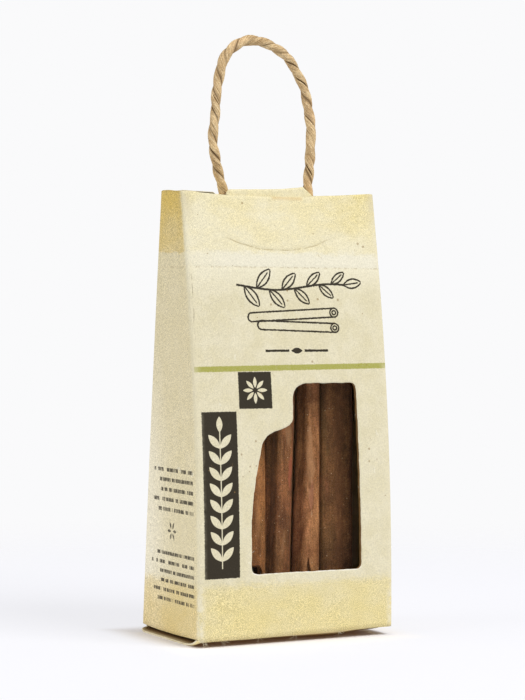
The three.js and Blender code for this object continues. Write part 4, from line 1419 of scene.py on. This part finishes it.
def bark_group():
    """Dry bark: fine lines along it, stretched patches from dark to light, a drift towards olive in some and
    towards pink in others, and a few pale specks."""
    tree = new_group("streaked_bark", {"Dark": "Color", "Light": "Color", "Shift": "Vector"},
                     {"Colour": "Color", "Height": "Float"})
    given = node("NodeGroupInput", tree=tree).outputs
    here = node("ShaderNodeVectorMath", {0: place(tree), 1: given["Shift"]}, operation="ADD").outputs[0]
    striae = grain(stretch(here, (1, 1, 0.035)), 2300, 3, 0.6)
    lines = grain(stretch(here, (1, 1, 0.06)), 850, 4, 0.6)
    bands = grain(stretch(here, (1, 1, 0.28)), 270, 4, 0.55)
    drift = grain(stretch(here, (1, 1, 0.35)), 120, 2)
    powder = grain(here, 2300, 2)
    mottle = grain(stretch(here, (1, 1, 0.6)), 620, 3, 0.6)
    colour = blend(ramp(bands, 0.32, 0.68), given["Dark"], given["Light"])
    colour = blend(ramp(drift, 0.52, 0.7, 0, 0.25), colour, srgb(140, 112, 70))
    colour = blend(ramp(drift, 0.46, 0.3, 0, 0.35), colour, srgb(182, 118, 88))
    colour = shade(colour, striae, 0.32, 0.68, 0.84, 1.15)
    colour = shade(colour, mottle, 0.3, 0.7, 0.84, 1.16)
    colour = blend(ramp(lines, 0.42, 0.28, 0, 0.4), colour, srgb(84, 52, 30))
    colour = blend(ramp(lines, 0.6, 0.74, 0, 0.28), colour, srgb(202, 154, 108))
    colour = shade(colour, powder, 0.3, 0.7, 0.7, 1.26)
    distance, pick, _ = cells(here, 860)
    few = calc("GREATER_THAN", pick, 0.76)
    speck = times(ramp(distance, 0.16, 0.1), few, ramp(drift, 0.4, 0.6, 0.4, 1.0))
    colour = blend(speck, colour, srgb(214, 186, 150))
    height = plus(plus(times(striae, 0.6), lines), times(powder, 0.15))
    node("NodeGroupOutput", {"Colour": colour, "Height": height})
    return tree


def bark_material(bark, name, dark, light, shift, patches):
    """Bark from dark to light, with the marks of one stick."""
    material, tree, shader = new_material(name)
    made = node("ShaderNodeGroup", {"Dark": srgb(*dark), "Light": srgb(*light), "Shift": (0, 0, shift)}, tree,
                node_tree=bark)
    colour = made.outputs["Colour"]
    if patches:
        uv = sheet_place(tree)
        turned = times(uv[0], BARK_UV_TURN * 180 / math.pi)
        h = times(uv[1], BARK_UV_HEIGHT)
        wander = times(minus(grain(stretch(place(tree), (1, 1, 0.4)), 420, 3), 0.5), 2.4)
    for at_turn, at_h, half_turn, half_h, tint, strength in patches:
        across, along = divided(minus(turned, at_turn), half_turn), divided(minus(h, at_h), half_h)
        from_middle = node("ShaderNodeCombineXYZ", {0: across, 1: along}).outputs[0]
        gap = node("ShaderNodeVectorMath", {0: from_middle}, operation="LENGTH").outputs["Value"]
        mask = ramp(plus(gap, wander), 1.15, 0.55, 0, strength)
        shaded = blend(1.0, colour, srgb(*tint), "COLOR")
        colour = blend(mask, colour, blend(0.6, shaded, srgb(*tint)))
    feed(shader, {"Base Color": colour, "Normal": bump(made.outputs["Height"], 0.09), "Roughness": 0.72,
                  "Specular IOR Level": 0.3})
    return material


streaked_bark = bark_group()
for number, size in enumerate(STICKS, 1):
    dark, light, patches = size.pop("dark"), size.pop("light"), size.pop("patches")
    stick = stick_mesh(f"cinnamon_stick_{number}", seed=number * 1.7, **size)
    finishes = [("outer", dark, light, patches), ("inner", (96, 62, 38), (140, 96, 62), []),
                ("edge", (146, 102, 66), (186, 138, 94), [])]
    for face, low, high, marks in finishes:
        finish = bark_material(streaked_bark, f"bark_{number}_{face}", low, high, number, marks)
        stick.data.materials.append(finish)
    place_piece(stick, "bark", f"quill_{number}")

# ---------------------------------------------------------------------------------------------------------
# Floor and light. A white sheet that glows as painted light, under a large soft lamp at the upper right of the
# front, with a weaker one at the left for the side wall, in a bright white room.
FLOOR_RADIUS = 900.0
FLOOR_FADE = (130.0, 380.0)
# The floor glows as painted light: white away from the pack, which lifts its shadows, and a dim brown under
# the pack and close to it, which paints a warm shade there. The glow comes closer at the right.
GLOW_FROM = (1.0, 13.0)
GLOW_SHIFT = 1.3
LAMP_AIM_Z = 80
FLOOR_CORNERS = 48


def floor_material():
    """White, with a painted glow that lifts shadows and paints warm shade by the pack, fading out far from it.
    """
    material, tree, shader = new_material("white_floor")
    here = place(tree)
    split = node("ShaderNodeSeparateXYZ", {0: here}).outputs
    far = divided(node("ShaderNodeVectorMath", {0: here}, operation="LENGTH").outputs["Value"], MM)
    across = minus(absolute(plus(split[0], GLOW_SHIFT * MM)), (PACK_WIDTH / 2 - GLOW_SHIFT) * MM)
    deep = minus(absolute(split[1]), BASE_DEPTH / 2 * MM)
    glow = ramp(divided(either(across, deep), MM), *GLOW_FROM)
    feed(shader, {
        "Alpha": ramp(far, *FLOOR_FADE, 1.0, 0.0),
        # Painted light: the base dims where the glow takes over, and the glow is dim brown under the pack
        "Base Color": blend(glow, srgb(245, 246, 250), srgb(132, 132, 135)),
        "Emission Color": blend(glow, srgb(66, 44, 24), srgb(215, 215, 219)),
        "Emission Strength": 1.0,
        "Roughness": 0.9,
    })
    return material


ring = [(FLOOR_RADIUS * math.cos(turn), FLOOR_RADIUS * math.sin(turn), 0)
        for turn in np.linspace(0, 2 * math.pi, FLOOR_CORNERS, endpoint=False)]
floor = make_object("floor", ring, [tuple(range(FLOOR_CORNERS))], smooth=False)
floor.data.materials.append(floor_material())


def soft_lamp(name, turn, rise, distance, width, height, power):
    """An area lamp that faces the middle of the pack. turn is from the front towards the right."""
    turn, rise = math.radians(turn), math.radians(rise)
    direction = Vector((math.sin(turn) * math.cos(rise), -math.cos(turn) * math.cos(rise), math.sin(rise)))
    data = bpy.data.lights.new(name, "AREA")
    data.shape = "RECTANGLE"
    data.size, data.size_y = width * MM, height * MM
    data.energy = power
    lamp = bpy.data.objects.new(name, data)
    bpy.context.scene.collection.objects.link(lamp)
    lamp.location = (Vector((0, 0, LAMP_AIM_Z)) + direction * distance) * MM
    lamp.rotation_euler = direction.to_track_quat("Z", "Y").to_euler()


soft_lamp("key", turn=25, rise=46, distance=1100, width=560, height=560, power=9.5)
soft_lamp("side_fill", turn=-96, rise=18, distance=1000, width=700, height=700, power=4.4)
world = bpy.data.worlds.new("white_room")
world.use_nodes = True
bpy.context.scene.world = world
sky = world.node_tree
sky.nodes.clear()
seen = node("ShaderNodeBackground", {"Color": srgb(250, 250, 251), "Strength": 1.0}, sky)
lit = node("ShaderNodeBackground", {"Color": (1, 1, 1, 1), "Strength": 0.47}, sky)
by_eye = node("ShaderNodeLightPath", tree=sky).outputs["Is Camera Ray"]
both = node("ShaderNodeMixShader", {0: by_eye, 1: lit.outputs[0], 2: seen.outputs[0]})
node("ShaderNodeOutputWorld", {"Surface": both.outputs[0]})
bpy.context.scene.view_settings.view_transform = "Standard"

# ---------------------------------------------------------------------------------------------------------
bpy.context.view_layer.update()
